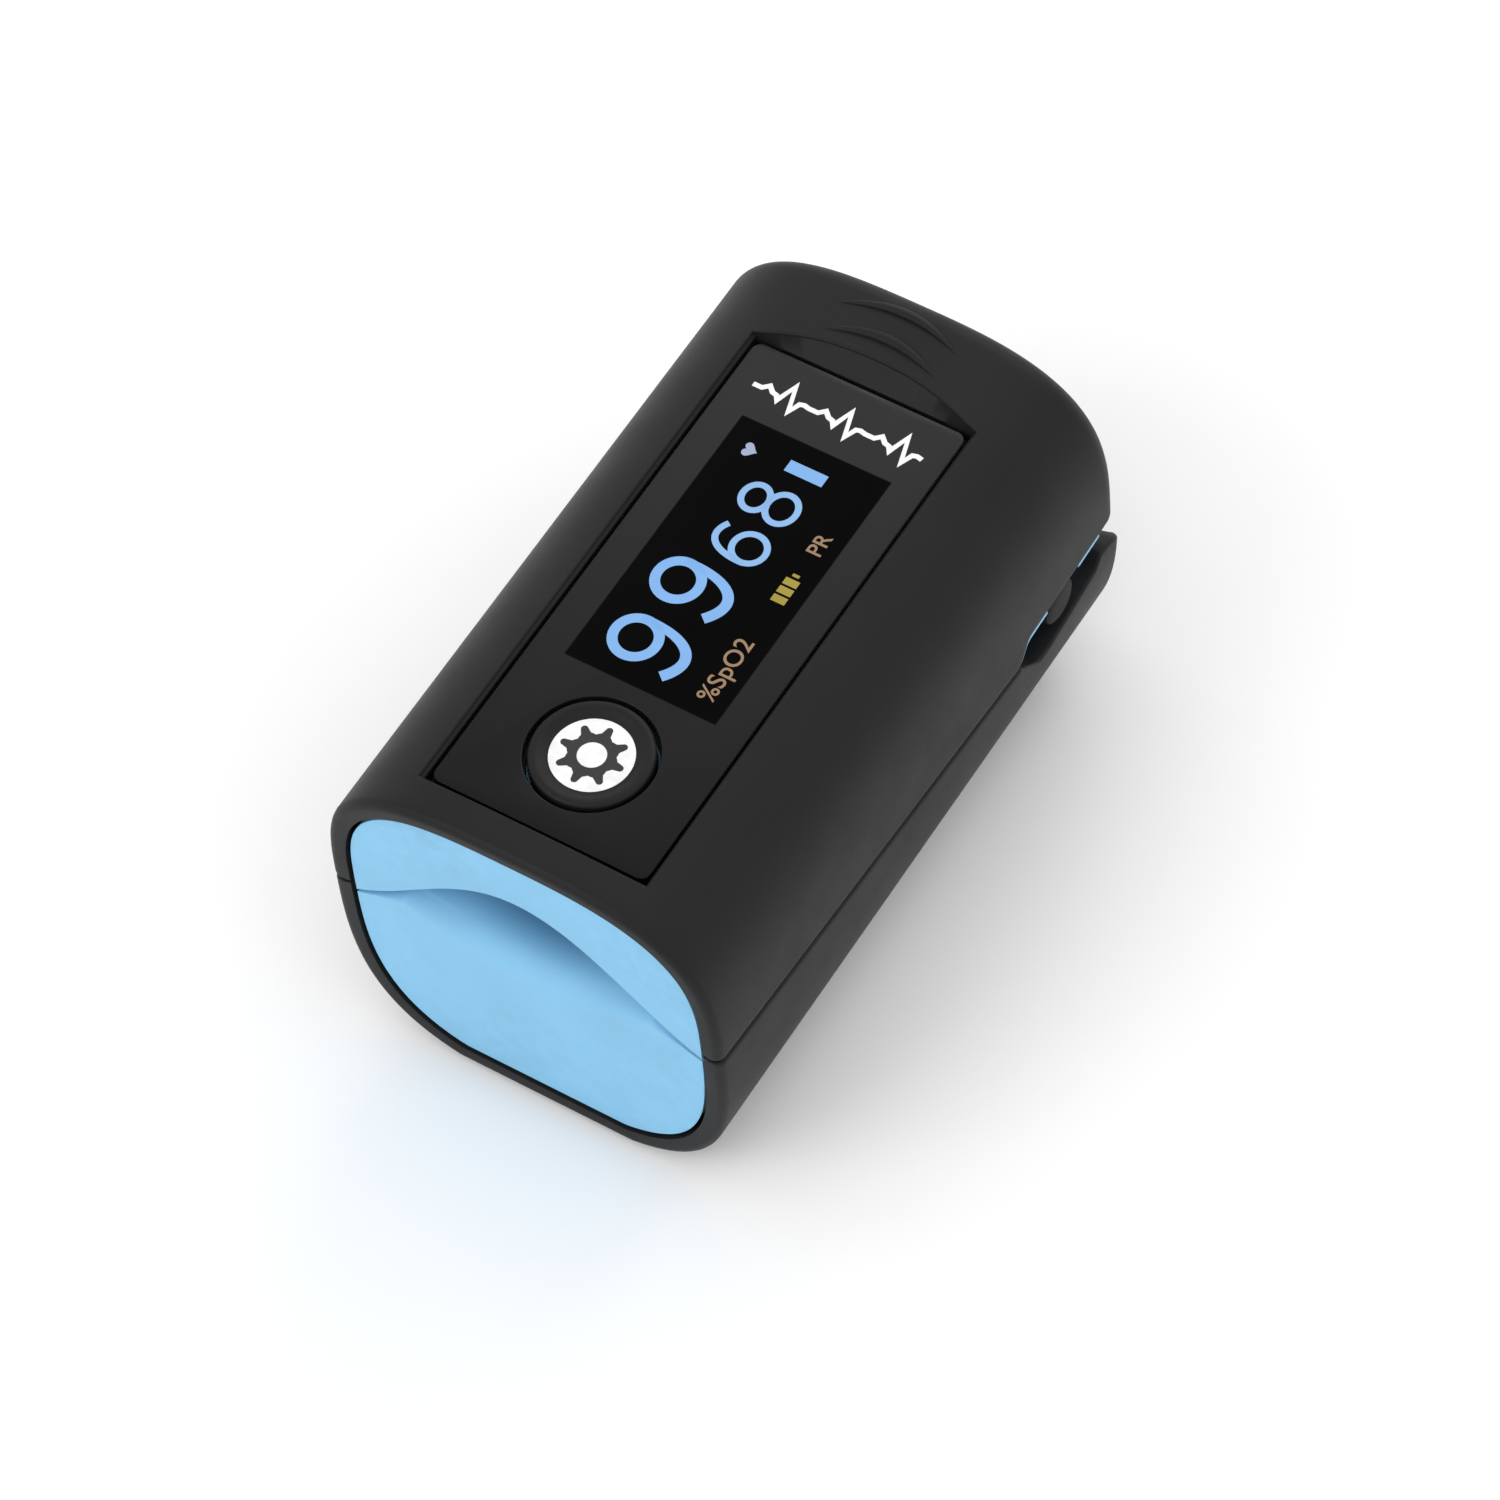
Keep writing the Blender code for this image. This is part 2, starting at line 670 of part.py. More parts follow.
def pad_rings(upper):
    """Rings of a finger pad: a front flange that fills the mouth, then the bed inside."""
    across = 29
    around = 25
    limit = FRAME_CEILING_Z - GAP if upper else BAY_CEILING_Z[1] + GAP
    seam_low = ARCH_FOOT_Z if upper else ARCH_FOOT_Z - SEAM_GAP
    stations = [(FLANGE_FRONT_Y, FRAME_INSET), (-27.5, FRAME_INSET), (FLANGE_BACK_Y, FRAME_INSET)]
    if upper:
        stations += [(FLANGE_BACK_Y + 0.05, PAD_INSET), (PAD_END_Y, PAD_INSET)]
    else:
        inner = (FLANGE_BACK_Y + 0.05, -25.0, -23.0, -20.5, -16.0, 1.0, 3.5, 6.5, 9.0, PAD_END_Y)
        stations += [(y, PAD_INSET) for y in inner]
    rings = []
    for y, inset in stations:
        if inset == FRAME_INSET:
            outside = side_arc(inset, seam_low, upper, around)
        elif upper:
            outside = side_arc(inset, seam_low, upper, around, ceiling=limit)
        else:
            outside = side_arc(inset, seam_low, upper, around, floor=limit)
        half = outside[0][0]
        points = [(x, y, z) for x, z in outside]
        for step in range(1, across - 1):
            x = half * (2 * step / (across - 1) - 1)
            z = arch_z(x) if upper else bed_z(x, y)
            points.append((x, y, z))
        rings.append(points)
    return rings


def make_finger_pad(name, upper, skin):
    """A soft finger pad with the round hole of its optical window."""
    pad = loft(name, pad_rings(upper))
    hole = cylinder(name + "_window_hole", WINDOW_RADIUS + 0.3, 10.0 if not upper else 22.0,
                    20.0 if not upper else 28.0, (0, SENSOR_Y), segments=28)
    combine(pad, hole, "DIFFERENCE")
    if not upper:
        trench = box("flex_trench", (-2.4, SENSOR_Y + 1.0, 13.0), (2.4, PAD_END_Y + 1.0, 14.45))
        combine(pad, trench, "DIFFERENCE")
    return finish(pad, skin)


# ---------------------------------------------------------------- hinge

def make_hinge(steel, dark):
    """The pin, its two end caps and the pair of torsion springs."""
    pin = cylinder("hinge_pin", PIN_RADIUS, -14.62, 14.62, (0, 0), "X", 20)
    pin.location = Vector((0, PIVOT_Y, PIVOT_Z)) * MM
    finish(pin, steel)
    for side in (-1, 1):
        suffix = "_left" if side < 0 else "_right"
        low, high = sorted((side * 14.72, side * 16.0))
        cap = cylinder("hinge_cap" + suffix, CAP_RADIUS, low, high, (0, 0), "X", 28)
        cap.location = Vector((0, PIVOT_Y, PIVOT_Z)) * MM
        finish(cap, dark)
        finish(wire("torsion_spring" + suffix, spring_path(side), SPRING_WIRE), steel)


def spring_path(side):
    """Centre line of a torsion spring: a leg, the coils about the pin and the other leg."""
    lower_turn = math.radians(-66)
    upper_turn = math.radians(95)
    sweep = math.tau * SPRING_TURNS - (upper_turn - lower_turn)
    steps = 12 * SPRING_TURNS
    points = []
    for step in range(steps + 1):
        angle = lower_turn - sweep * step / steps
        x = side * (SPRING_START_X + SPRING_PITCH * (sweep / math.tau) * step / steps)
        y = PIVOT_Y + SPRING_COIL_RADIUS * math.cos(angle)
        z = PIVOT_Z + SPRING_COIL_RADIUS * math.sin(angle)
        points.append((x, y, z))
    lower_arm = Vector((0, -math.sin(lower_turn), math.cos(lower_turn))) * 3.3
    upper_arm = Vector((0, math.sin(upper_turn), -math.cos(upper_turn))) * 4.8
    lower_leg = Vector(points[0]) + lower_arm
    upper_leg = Vector(points[-1]) + upper_arm
    return [tuple(lower_leg)] + points + [tuple(upper_leg)]


# ---------------------------------------------------------------- power

def make_cells(skin):
    """Two AAA cells side by side, facing opposite ways."""
    nub = 0.8
    profile = [(0.0, CELL_LENGTH), (1.9, CELL_LENGTH), (1.9, CELL_LENGTH - nub),
               (4.6, CELL_LENGTH - nub), (CELL_RADIUS, CELL_LENGTH - nub - 0.6),
               (CELL_RADIUS, 0.5), (CELL_RADIUS - 0.5, 0.0), (0.0, 0.0)]
    left = turned("battery_left", profile, (-CELL_X, left_cell_rear(), CELL_Z), 28)
    left.rotation_euler = (math.pi / 2, 0, 0)
    finish(left, skin)
    right = turned("battery_right", profile, (CELL_X, right_cell_front(), CELL_Z), 28)
    right.rotation_euler = (-math.pi / 2, 0, 0)
    finish(right, skin)


def left_cell_rear():
    """The left cell's flat end, when its nub is against the bridge at the front."""
    return BRIDGE_Y + CONTACT_THICKNESS + 0.15 + CELL_LENGTH


def right_cell_front():
    """The right cell's flat end, when its nub is against the positive plate at the rear."""
    return PLATE_Y - 0.15 - CELL_LENGTH


def make_contacts(skin):
    """The bridge between the cells, the two rear plates and the two coil springs."""
    low, high = 3.6, 11.0
    plates = (("contact_bridge", -9.6, 9.6, BRIDGE_Y),
              ("contact_plate_negative", -9.6, -1.0, PLATE_Y),
              ("contact_plate_positive", 1.0, 9.6, PLATE_Y))
    for name, start, end, y in plates:
        finish(box(name, (start, y, low), (end, y + CONTACT_THICKNESS, high)), skin, False)
    room = CONTACT_WIRE / 2 + 0.1
    finish(contact_spring("contact_spring_front", CELL_X,
                          BRIDGE_Y + CONTACT_THICKNESS + room, right_cell_front() - room), skin)
    finish(contact_spring("contact_spring_rear", -CELL_X,
                          PLATE_Y - room, left_cell_rear() + room), skin)


def contact_spring(name, x, wide_y, narrow_y):
    """A conical coil spring from its wide end on the plate to its narrow end on the cell."""
    turns = 3.0
    steps = 36
    points = []
    for step in range(steps + 1):
        t = step / steps
        angle = math.tau * turns * t
        radius = 3.2 - 1.5 * t
        y = wide_y + (narrow_y - wide_y) * t
        points.append((x + radius * math.cos(angle), y, CELL_Z + radius * math.sin(angle)))
    return wire(name, points, CONTACT_WIRE)


# ---------------------------------------------------------------- electronics

def make_display(glass, oled_skin, flex_skin):
    """The panel lens, the display module under it and its folded ribbon."""
    inset = 0.25
    half = PANEL_HALF_WIDTH - inset
    lens = outline_solid("display_lens", rounded([
        (-half, PANEL_FRONT_Y + inset, 0.8), (half, PANEL_FRONT_Y + inset, 0.8),
        (half, PANEL_REAR_Y - inset, 0.8), (-half, PANEL_REAR_Y - inset, 0.8),
    ], 4), PANEL_FLOOR_Z + 0.2, PANEL_TOP_Z, "XY")
    hole = cylinder("lens_button_hole", BUTTON_RADIUS + GAP, 29.0, 32.0, (0, BUTTON_Y),
                    segments=40)
    combine(lens, hole, "DIFFERENCE")
    finish(lens, glass)
    width, length, thickness = OLED_SIZE
    bottom = BOARD_Z[1] + GAP
    finish(box("oled_display", (-width / 2, OLED_CENTRE_Y - length / 2, bottom),
               (width / 2, OLED_CENTRE_Y + length / 2, bottom + thickness), 0.12), oled_skin, False)
    y = OLED_CENTRE_Y + length / 2 + 0.1
    ribbon = [(y, 29.05), (y, 29.2), (y + 1.0, 28.75), (y + 1.0, 28.42), (y + 0.05, 28.42),
              (y + 0.05, 28.55), (y + 0.8, 28.55), (y + 0.8, 28.7)]
    finish(outline_solid("display_flex", ribbon, -5.0, 5.0, "YZ"), flex_skin, False)


def make_board(board_skin, chip_skin, metal_skin, led_skin):
    """The main board and the larger pieces soldered to it."""
    low, high = BOARD_Z
    board = outline_solid("main_board", rounded([
        (-8.6, -24.0, 1.0), (8.6, -24.0, 1.0), (8.6, 21.0, 1.0), (-8.6, 21.0, 1.0),
    ], 3), low, high, "XY")
    finish(board, board_skin, False)
    top = high + 0.1
    finish(box("microcontroller", (-2.5, 16.0, top), (2.5, 20.6, top + 0.7)), chip_skin, False)
    finish(box("boost_inductor", (-7.2, 16.6, top), (-4.2, 19.6, top + 0.75), 0.1), chip_skin, False)
    finish(box("crystal", (4.4, 16.8, top), (7.6, 18.4, top + 0.6), 0.1), metal_skin, False)
    finish(box("led_emitter", (-1.6, SENSOR_Y - 1.2, low - 0.8), (1.6, SENSOR_Y + 1.2, low - 0.1)),
           led_skin, False)


def make_button(cap_skin, switch_skin, plunger_skin):
    """The power button cap, and the tactile switch with its plunger under the cap."""
    top = PANEL_TOP_Z + 0.15
    profile = [(0.0, top - 0.35), (1.6, top - 0.32), (3.0, top - 0.2), (3.9, top - 0.02),
               (4.25, top), (4.5, top - 0.12), (BUTTON_RADIUS, top - 0.4), (BUTTON_RADIUS, 29.85),
               (1.1, 29.85), (1.1, 29.3), (0.0, 29.3)]
    finish(turned("power_button", profile, (0, BUTTON_Y, 0), 40), cap_skin)
    base = BOARD_Z[1] + 0.1
    switch = box("tactile_switch", (-1.9, BUTTON_Y - 1.9, base), (1.9, BUTTON_Y + 1.9, base + 0.5))
    pocket = cylinder("plunger_pocket", 0.95, 28.0, 30.0, (0, BUTTON_Y), segments=20)
    combine(switch, pocket, "DIFFERENCE")
    finish(switch, switch_skin, False)
    finish(cylinder("switch_plunger", 0.8, base + 0.42, 29.2, (0, BUTTON_Y), segments=18),
           plunger_skin)


def make_optics(window_skin, board_skin, diode_skin):
    """The two optical windows and the light detector under the finger bed."""
    centre = (0, SENSOR_Y)
    finish(cylinder("emitter_window", WINDOW_RADIUS, 25.2, 26.1, centre, segments=28), window_skin)
    finish(cylinder("detector_window", WINDOW_RADIUS, 15.2, 15.85, centre, segments=28), window_skin)
    finish(cylinder("detector_board", 3.1, 13.9, 14.4, centre, segments=24), board_skin)
    finish(box("photodiode", (-1.5, SENSOR_Y - 1.5, 14.5), (1.5, SENSOR_Y + 1.5, 15.1)), diode_skin,
           False)


def make_flex(skin):
    """The ribbon from the detector and the cells up past the hinge to the main board."""
    thickness = 0.16
    route = rounded([
        (SENSOR_Y + 3.3, 14.1, 0), (13.6, 14.1, 1.6), (15.2, 20.0, 3.0), (15.8, 27.3, 0),
    ], 6)
    sides = []
    for sign in (1, -1):
        side = []
        for index, point in enumerate(route):
            before = Vector(route[max(index - 1, 0)])
            after = Vector(route[min(index + 1, len(route) - 1)])
            along = (after - before).normalized()
            shift = Vector((-along.y, along.x)) * thickness / 2 * sign
            side.append(tuple(Vector(point) + shift))
        sides.append(side)
    outline = sides[0] + sides[1][::-1]
    finish(outline_solid("hinge_flex", outline, -2.0, 2.0, "YZ"), skin)


def make_screws(skin):
    """Two screws in each half, from the frame into the shell's bosses."""
    profile = [(0.0, 0.0), (1.0, 0.0), (1.2, -0.25), (1.2, -0.8), (0.65, -0.8),
               (0.65, -4.6), (0.3, -5.1), (0.0, -5.1)]
    for side in (-1, 1):
        suffix = "_left" if side < 0 else "_right"
        lower = turned("screw_lower" + suffix, profile,
                       (side * LOWER_SCREW[0], LOWER_SCREW[1], BAY_CEILING_Z[1] + 0.9), 18)
        finish(lower, skin)
        short = [(r, z if z > -1 else z + 2.3) for r, z in profile]
        upper = turned("screw_upper" + suffix, short,
                       (side * UPPER_SCREW[0], UPPER_SCREW[1], FRAME_CEILING_Z - 0.9), 18)
        upper.rotation_euler = (math.pi, 0, 0)
        finish(upper, skin)


def main():
    """Make every piece of the oximeter."""
    charcoal = material("charcoal_plastic", (0.032, 0.033, 0.036), 0.55)
    sky = material("sky_plastic", (0.36, 0.66, 0.86), 0.45)
    silicone = material("sky_silicone", (0.34, 0.66, 0.87), 0.5)
    glossy = material("black_lens", (0.008, 0.008, 0.01), 0.08)
    steel = material("spring_steel", (0.55, 0.55, 0.57), 0.3, 1.0)
    nickel = material("nickel_contact", (0.7, 0.68, 0.62), 0.25, 1.0)
    cell = material("cell_sleeve", (0.1, 0.22, 0.5), 0.35)
    board = material("green_board", (0.02, 0.16, 0.07), 0.4)
    chip = material("black_chip", (0.02, 0.02, 0.022), 0.5)
    amber = material("amber_ribbon", (0.55, 0.26, 0.05), 0.4)
    clear = material("clear_window", (0.85, 0.9, 0.92), 0.1, alpha=0.4)
    white = material("white_plastic", (0.8, 0.8, 0.8), 0.4)

    make_upper_shell(charcoal)
    make_lower_shell(charcoal)
    make_battery_door(charcoal)
    make_upper_frame(sky)
    make_lower_frame(sky)
    make_finger_pad("upper_finger_pad", True, silicone)
    make_finger_pad("lower_finger_pad", False, silicone)
    make_hinge(steel, charcoal)
    make_cells(cell)
    make_contacts(nickel)
    make_display(glossy, glossy, amber)
    make_board(board, chip, nickel, white)
    make_button(charcoal, nickel, white)
    make_optics(clear, board, chip)
    make_flex(amber)
    make_screws(steel)


main()
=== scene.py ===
"""Looks of a fingertip pulse oximeter.

Fine shells, soft finger pads, the printed panel with its lit display, the button, the hinge and
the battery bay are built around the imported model.  Shapes are worked out in millimetres in the
model's own frame: -Y is the finger opening, +Z is up and the hinge pin runs along X.
"""

import json
import math

import bmesh
import bpy
import numpy as np
from mathutils import Matrix, Vector


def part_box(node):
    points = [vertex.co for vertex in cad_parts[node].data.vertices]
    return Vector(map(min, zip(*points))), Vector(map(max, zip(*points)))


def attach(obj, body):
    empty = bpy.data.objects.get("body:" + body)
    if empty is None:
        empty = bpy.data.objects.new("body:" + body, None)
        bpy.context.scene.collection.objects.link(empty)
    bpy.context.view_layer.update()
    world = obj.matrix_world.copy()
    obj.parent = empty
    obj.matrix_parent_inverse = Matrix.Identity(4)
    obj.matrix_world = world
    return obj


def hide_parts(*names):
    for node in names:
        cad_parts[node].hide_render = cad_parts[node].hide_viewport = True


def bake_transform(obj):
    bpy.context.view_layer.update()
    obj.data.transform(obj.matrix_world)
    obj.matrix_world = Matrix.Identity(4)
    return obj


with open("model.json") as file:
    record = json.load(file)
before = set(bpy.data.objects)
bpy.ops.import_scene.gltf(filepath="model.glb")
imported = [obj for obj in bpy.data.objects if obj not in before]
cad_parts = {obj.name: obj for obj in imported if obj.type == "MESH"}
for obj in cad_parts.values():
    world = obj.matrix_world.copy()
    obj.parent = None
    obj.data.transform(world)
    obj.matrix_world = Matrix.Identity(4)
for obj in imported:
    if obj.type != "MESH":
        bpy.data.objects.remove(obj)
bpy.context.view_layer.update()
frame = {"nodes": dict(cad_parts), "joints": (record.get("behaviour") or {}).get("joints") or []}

MM = 0.001
SIDES = ((-1, "_left"), (1, "_right"))


def span(node):
    """Lowest and highest corner of a CAD node in millimetres."""
    low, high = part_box(node)
    return Vector(low) / MM, Vector(high) / MM


# Housing
HALF_WIDTH = span("upper_shell")[1].x
FRONT_Y = span("upper_shell")[0].y
UPPER_REAR_Y = span("upper_shell")[1].y
LOWER_REAR_Y = span("lower_shell")[1].y
CROWN_Z = 32.5
WIDEST_Z = 18.4
FOOT_SINK = 0.5
TOP_POWER = 3.0
BOTTOM_POWER = 3.2
FRONT_ROUND = 0.7
REAR_ROUND = 1.9
LUG_ROUND = 1.6
WALL = 1.5
GAP = 0.3
FRAME_INSET = WALL + GAP
PAD_INSET = FRAME_INSET + 1.0 + GAP

# Seam, slot and finger channel
SEAM_FRONT_Z = 18.0
SEAM_REAR = (13.2, 14.4)
ARCH_FOOT_Z = 17.0
ARCH_RISE = 8.6
ARCH_HALF_WIDTH = 15.0
ARCH_POWER = 0.75
LIP_Z = 19.4
BED_DEPTH = 3.5
BED_HALF_WIDTH = 9.6
FLANGE_FRONT_Y = FRONT_Y + 0.3
FLANGE_BACK_Y = -26.8
PAD_END_Y = 12.0
SENSOR_Y = -7.0
WINDOW_RADIUS = 3.2
STOP_GAP = 0.25

# Panel
PANEL_HALF_WIDTH = 9.2
PANEL_FRONT_Y = -25.05
PANEL_REAR_Y = 19.4
PANEL_TOP_Z = span("display_lens")[1].z
PANEL_FLOOR_Z = 30.0
BUTTON_Y = -17.55
BUTTON_RADIUS = 4.6

# Hinge, from its joint
PIVOT = Vector(next(j for j in frame["joints"] if j["name"] == "clamp_hinge")["pos_m"]) / MM


# ---------------------------------------------------------------- materials

class Finish:
    """A Principled material with helpers for the nodes that give it grain, bump and wear."""

    def __init__(self, name, colour, roughness, metallic=0.0, **sockets):
        self.material = bpy.data.materials.new(name)
        self.material.use_nodes = True
        self.nodes = self.material.node_tree.nodes
        self.links = self.material.node_tree.links
        self.shader = self.nodes["Principled BSDF"]
        self.shader.inputs["Base Color"].default_value = (*colour, 1.0)
        self.shader.inputs["Roughness"].default_value = roughness
        self.shader.inputs["Metallic"].default_value = metallic
        for key, value in sockets.items():
            self.shader.inputs[key.replace("_", " ")].default_value = value
        self.place = self.nodes.new("ShaderNodeTexCoord").outputs["Object"]

    def node(self, kind, **sockets):
        """A new shader node with a number, a vector or another node's output on its sockets."""
        made = self.nodes.new(kind)
        for key, value in sockets.items():
            socket = made.inputs[key.replace("_", " ")]
            if isinstance(value, bpy.types.NodeSocket):
                self.links.new(value, socket)
            else:
                socket.default_value = value
        return made

    def link(self, output, socket):
        """Join an output to one of the shader's sockets."""
        self.links.new(output, self.shader.inputs[socket])

    def noise(self, scale, detail=2.0, stretch=(1, 1, 1), rough=0.5):
        """Noise with about scale features a metre."""
        mapping = self.node("ShaderNodeMapping", Scale=stretch, Vector=self.place)
        return self.node("ShaderNodeTexNoise", Scale=scale, Detail=detail, Roughness=rough,
                         Vector=mapping.outputs["Vector"]).outputs["Fac"]

    def pointiness(self):
        """Convex edges above 0.5, hollows below."""
        return self.nodes.new("ShaderNodeNewGeometry").outputs["Pointiness"]

    def axis(self, name):
        """One coordinate of the place on the object, in metres."""
        return self.node("ShaderNodeSeparateXYZ", Vector=self.place).outputs[name]

    def math(self, operation, first, second=0.0, third=0.0):
        """A Math node on outputs or numbers."""
        made = self.nodes.new("ShaderNodeMath")
        made.operation = operation
        for socket, value in zip(made.inputs, (first, second, third)):
            if isinstance(value, (int, float)):
                socket.default_value = value
            else:
                self.links.new(value, socket)
        return made.outputs["Value"]

    def spread(self, value, low, high, new_low=0.0, new_high=1.0):
        """Map a value from one range to another, held at the ends."""
        return self.node("ShaderNodeMapRange", From_Min=low, From_Max=high, To_Min=new_low,
                         To_Max=new_high, Value=value).outputs["Result"]

    def mottle(self, scale, detail, low, high, new_low=0.0, new_high=1.0):
        """Noise between two levels, mapped to a range."""
        return self.spread(self.noise(scale, detail), low, high, new_low, new_high)

    def blend(self, share, first, second):
        """A colour between two, each an (r, g, b) or an output."""
        made = self.nodes.new("ShaderNodeMix")
        made.data_type = "RGBA"
        self.links.new(share, made.inputs["Factor"])
        for socket, value in zip((made.inputs[6], made.inputs[7]), (first, second)):
            if isinstance(value, tuple):
                socket.default_value = (*value, 1.0)
            else:
                self.links.new(value, socket)
        return made.outputs[2]

    def bump(self, height, depth, strength=1.0, under=None):
        """Bump of a depth in metres, on top of an earlier bump."""
        made = self.node("ShaderNodeBump", Strength=strength, Distance=depth, Height=height)
        if under is not None:
            self.links.new(under, made.inputs["Normal"])
        self.link(made.outputs["Normal"], "Normal")
        return made.outputs["Normal"]


WINDOW_HALF = (6.3, 12.05)
WINDOW_CENTRE_Y = 0.8
# Ends of a painted reflection on the lens: darker grey at the front, lighter grey toward the rear.
PAINTED_SHEEN_FRONT = (0.0035, 0.0035, 0.004)
PAINTED_SHEEN_REAR = (0.024, 0.024, 0.025)


def scaled(colour, factor):
    """A colour made lighter or darker."""
    return tuple(channel * factor for channel in colour)


def moulded(name, colour, roughness, grain, depth, variation=0.16, wear=1.6, **sockets):
    """Moulded plastic: a fine spark-eroded grain, faint flow marks and rubbed edges."""
    made = Finish(name, colour, roughness, **sockets)
    flow = made.noise(110, 3.0, (1.0, 0.45, 1.0))
    shade = made.blend(made.spread(flow, 0.3, 0.7), scaled(colour, 1 - variation),
                       scaled(colour, 1 + variation))
    rubbed = made.math("MULTIPLY", made.spread(made.pointiness(), 0.515, 0.60),
                       made.mottle(900, 3.0, 0.42, 0.62))
    made.link(made.blend(rubbed, shade, scaled(colour, wear)), "Base Color")
    fine = made.noise(grain, 3.0, rough=0.65)
    dull = made.math("MULTIPLY_ADD", made.noise(260, 4.0), 0.14, roughness - 0.07)
    made.link(made.math("MULTIPLY_ADD", fine, 0.10, dull), "Roughness")
    under = made.bump(made.noise(700, 2.0), depth * 0.6, 0.35)
    made.bump(fine, depth, 0.8, under)
    return made.material


def lens_finish():
    """The panel lens: a smoke-grey print behind gloss, lightening toward the rear as painted reflection,
    with a black window over the display.
    """
    made = Finish("panel_lens", (0.012, 0.012, 0.014), 0.2, Specular_IOR_Level=0.16)
    across = made.math("ABSOLUTE", made.axis("X"))
    along = made.math("ABSOLUTE", made.math("SUBTRACT", made.axis("Y"), WINDOW_CENTRE_Y * MM))
    soft = 0.05 * MM
    in_x, in_y = (made.spread(way, half * MM - soft, half * MM + soft, 1.0, 0.0)
                  for way, half in zip((across, along), WINDOW_HALF))
    above = made.spread(made.axis("Z"), (PANEL_TOP_Z - 0.3) * MM, (PANEL_TOP_Z - 0.2) * MM)
    window = made.math("MULTIPLY", made.math("MULTIPLY", in_x, in_y), above)
    # Painted reflection: the lens grey lightens from the panel's front to its rear.
    rise = made.spread(made.axis("Y"), PANEL_FRONT_Y * MM, PANEL_REAR_Y * MM)
    speck = made.mottle(9000, 1.0, 0.35, 0.7, 0.85, 1.0)
    grey = made.blend(rise, PAINTED_SHEEN_FRONT, PAINTED_SHEEN_REAR)
    # Dark print specks laid over the painted reflection.
    printed = made.blend(speck, scaled(PAINTED_SHEEN_FRONT, 0.6), grey)
    made.link(made.blend(window, printed, (0.0004, 0.0004, 0.0006)), "Base Color")
    smudge = made.spread(made.noise(240, 4.0, (1.0, 0.6, 1.0)), 0.4, 0.7, 0.16, 0.30)
    made.link(made.math("MULTIPLY_ADD", window, -0.05, smudge), "Roughness")
    made.link(made.spread(window, 0.0, 1.0, 0.16, 0.04), "Specular IOR Level")
    made.bump(made.noise(1500, 2.0), 0.002 * MM, 0.4)
    return made.material


def lit_finish(name, colour, strength):
    """Lit display segments: rows of fine picture elements behind the lens."""
    made = Finish(name, scaled(colour, 0.06), 0.25, Emission_Strength=strength,
                  Specular_IOR_Level=0.1)
    pitch = 0.17 * MM
    rows = made.math("SINE", made.math("MULTIPLY", made.axis("X"), math.tau / pitch))
    columns = made.math("SINE", made.math("MULTIPLY", made.axis("Y"), math.tau / pitch))
    grid = made.spread(made.math("MINIMUM", rows, columns), -1.0, -0.3, 0.78, 1.0)
    uneven = made.math("MULTIPLY", grid, made.mottle(500, 2.0, 0.3, 0.7, 0.92, 1.0))
    lit = made.blend(uneven, scaled(colour, 0.25), colour)
    made.link(lit, "Emission Color")
    made.bump(made.noise(2500, 2.0), 0.001 * MM, 0.3)
    return made.material


def printed_finish(name, colour, roughness=0.35):
    """Screen-printed ink: a little uneven in tone and gloss."""
    made = Finish(name, colour, roughness)
    made.link(made.blend(made.mottle(1600, 3.0, 0.35, 0.65), scaled(colour, 0.9), colour),
              "Base Color")
    made.link(made.mottle(3200, 2.0, 0.3, 0.7, roughness - 0.08, roughness + 0.1), "Roughness")
    made.bump(made.noise(5000, 2.0), 0.004 * MM, 0.4)
    return made.material


def metal_finish(name, colour, roughness, stretch):
    """Drawn or stamped metal with fine lines along one axis and a dull film in patches."""
    made = Finish(name, colour, roughness, 1.0)
    lines = made.noise(9000, 2.0, stretch)
    film = made.mottle(900, 4.0, 0.4, 0.7)
    made.link(made.blend(film, colour, scaled(colour, 0.72)), "Base Color")
    made.link(made.math("MULTIPLY_ADD", lines, 0.22, roughness - 0.08), "Roughness")
    made.bump(lines, 0.004 * MM, 0.5)
    return made.material


def cell_finish():
    """A cell's shrink sleeve: a dark body and a copper-coloured band at its positive end."""
    made = Finish("cell_sleeve", (0.02, 0.022, 0.03), 0.3, Coat_Weight=0.4, Coat_Roughness=0.1)
    side = made.spread(made.axis("X"), -0.1 * MM, 0.1 * MM)
    middle = (span("battery_left")[0].y + span("battery_right")[1].y) / 2 * MM
    reach = 9.5 * MM
    front = made.spread(made.axis("Y"), middle - reach - 0.05 * MM, middle - reach, 1.0, 0.0)
    rear = made.spread(made.axis("Y"), middle + reach, middle + reach + 0.05 * MM)
    band = made.math("ADD", made.math("MULTIPLY", front, made.math("SUBTRACT", 1.0, side)),
                     made.math("MULTIPLY", rear, side))
    scuffed = made.blend(made.mottle(600, 5.0, 0.45, 0.7), (0.018, 0.02, 0.028),
                         (0.04, 0.043, 0.055))
    made.link(made.blend(band, scuffed, (0.62, 0.27, 0.09)), "Base Color")
    made.link(made.math("MULTIPLY", band, 0.75), "Metallic")
    made.link(made.mottle(1500, 3.0, 0.3, 0.7, 0.22, 0.4), "Roughness")
    made.bump(made.noise(800, 3.0, (1.0, 0.2, 1.0)), 0.02 * MM, 0.4)
    return made.material


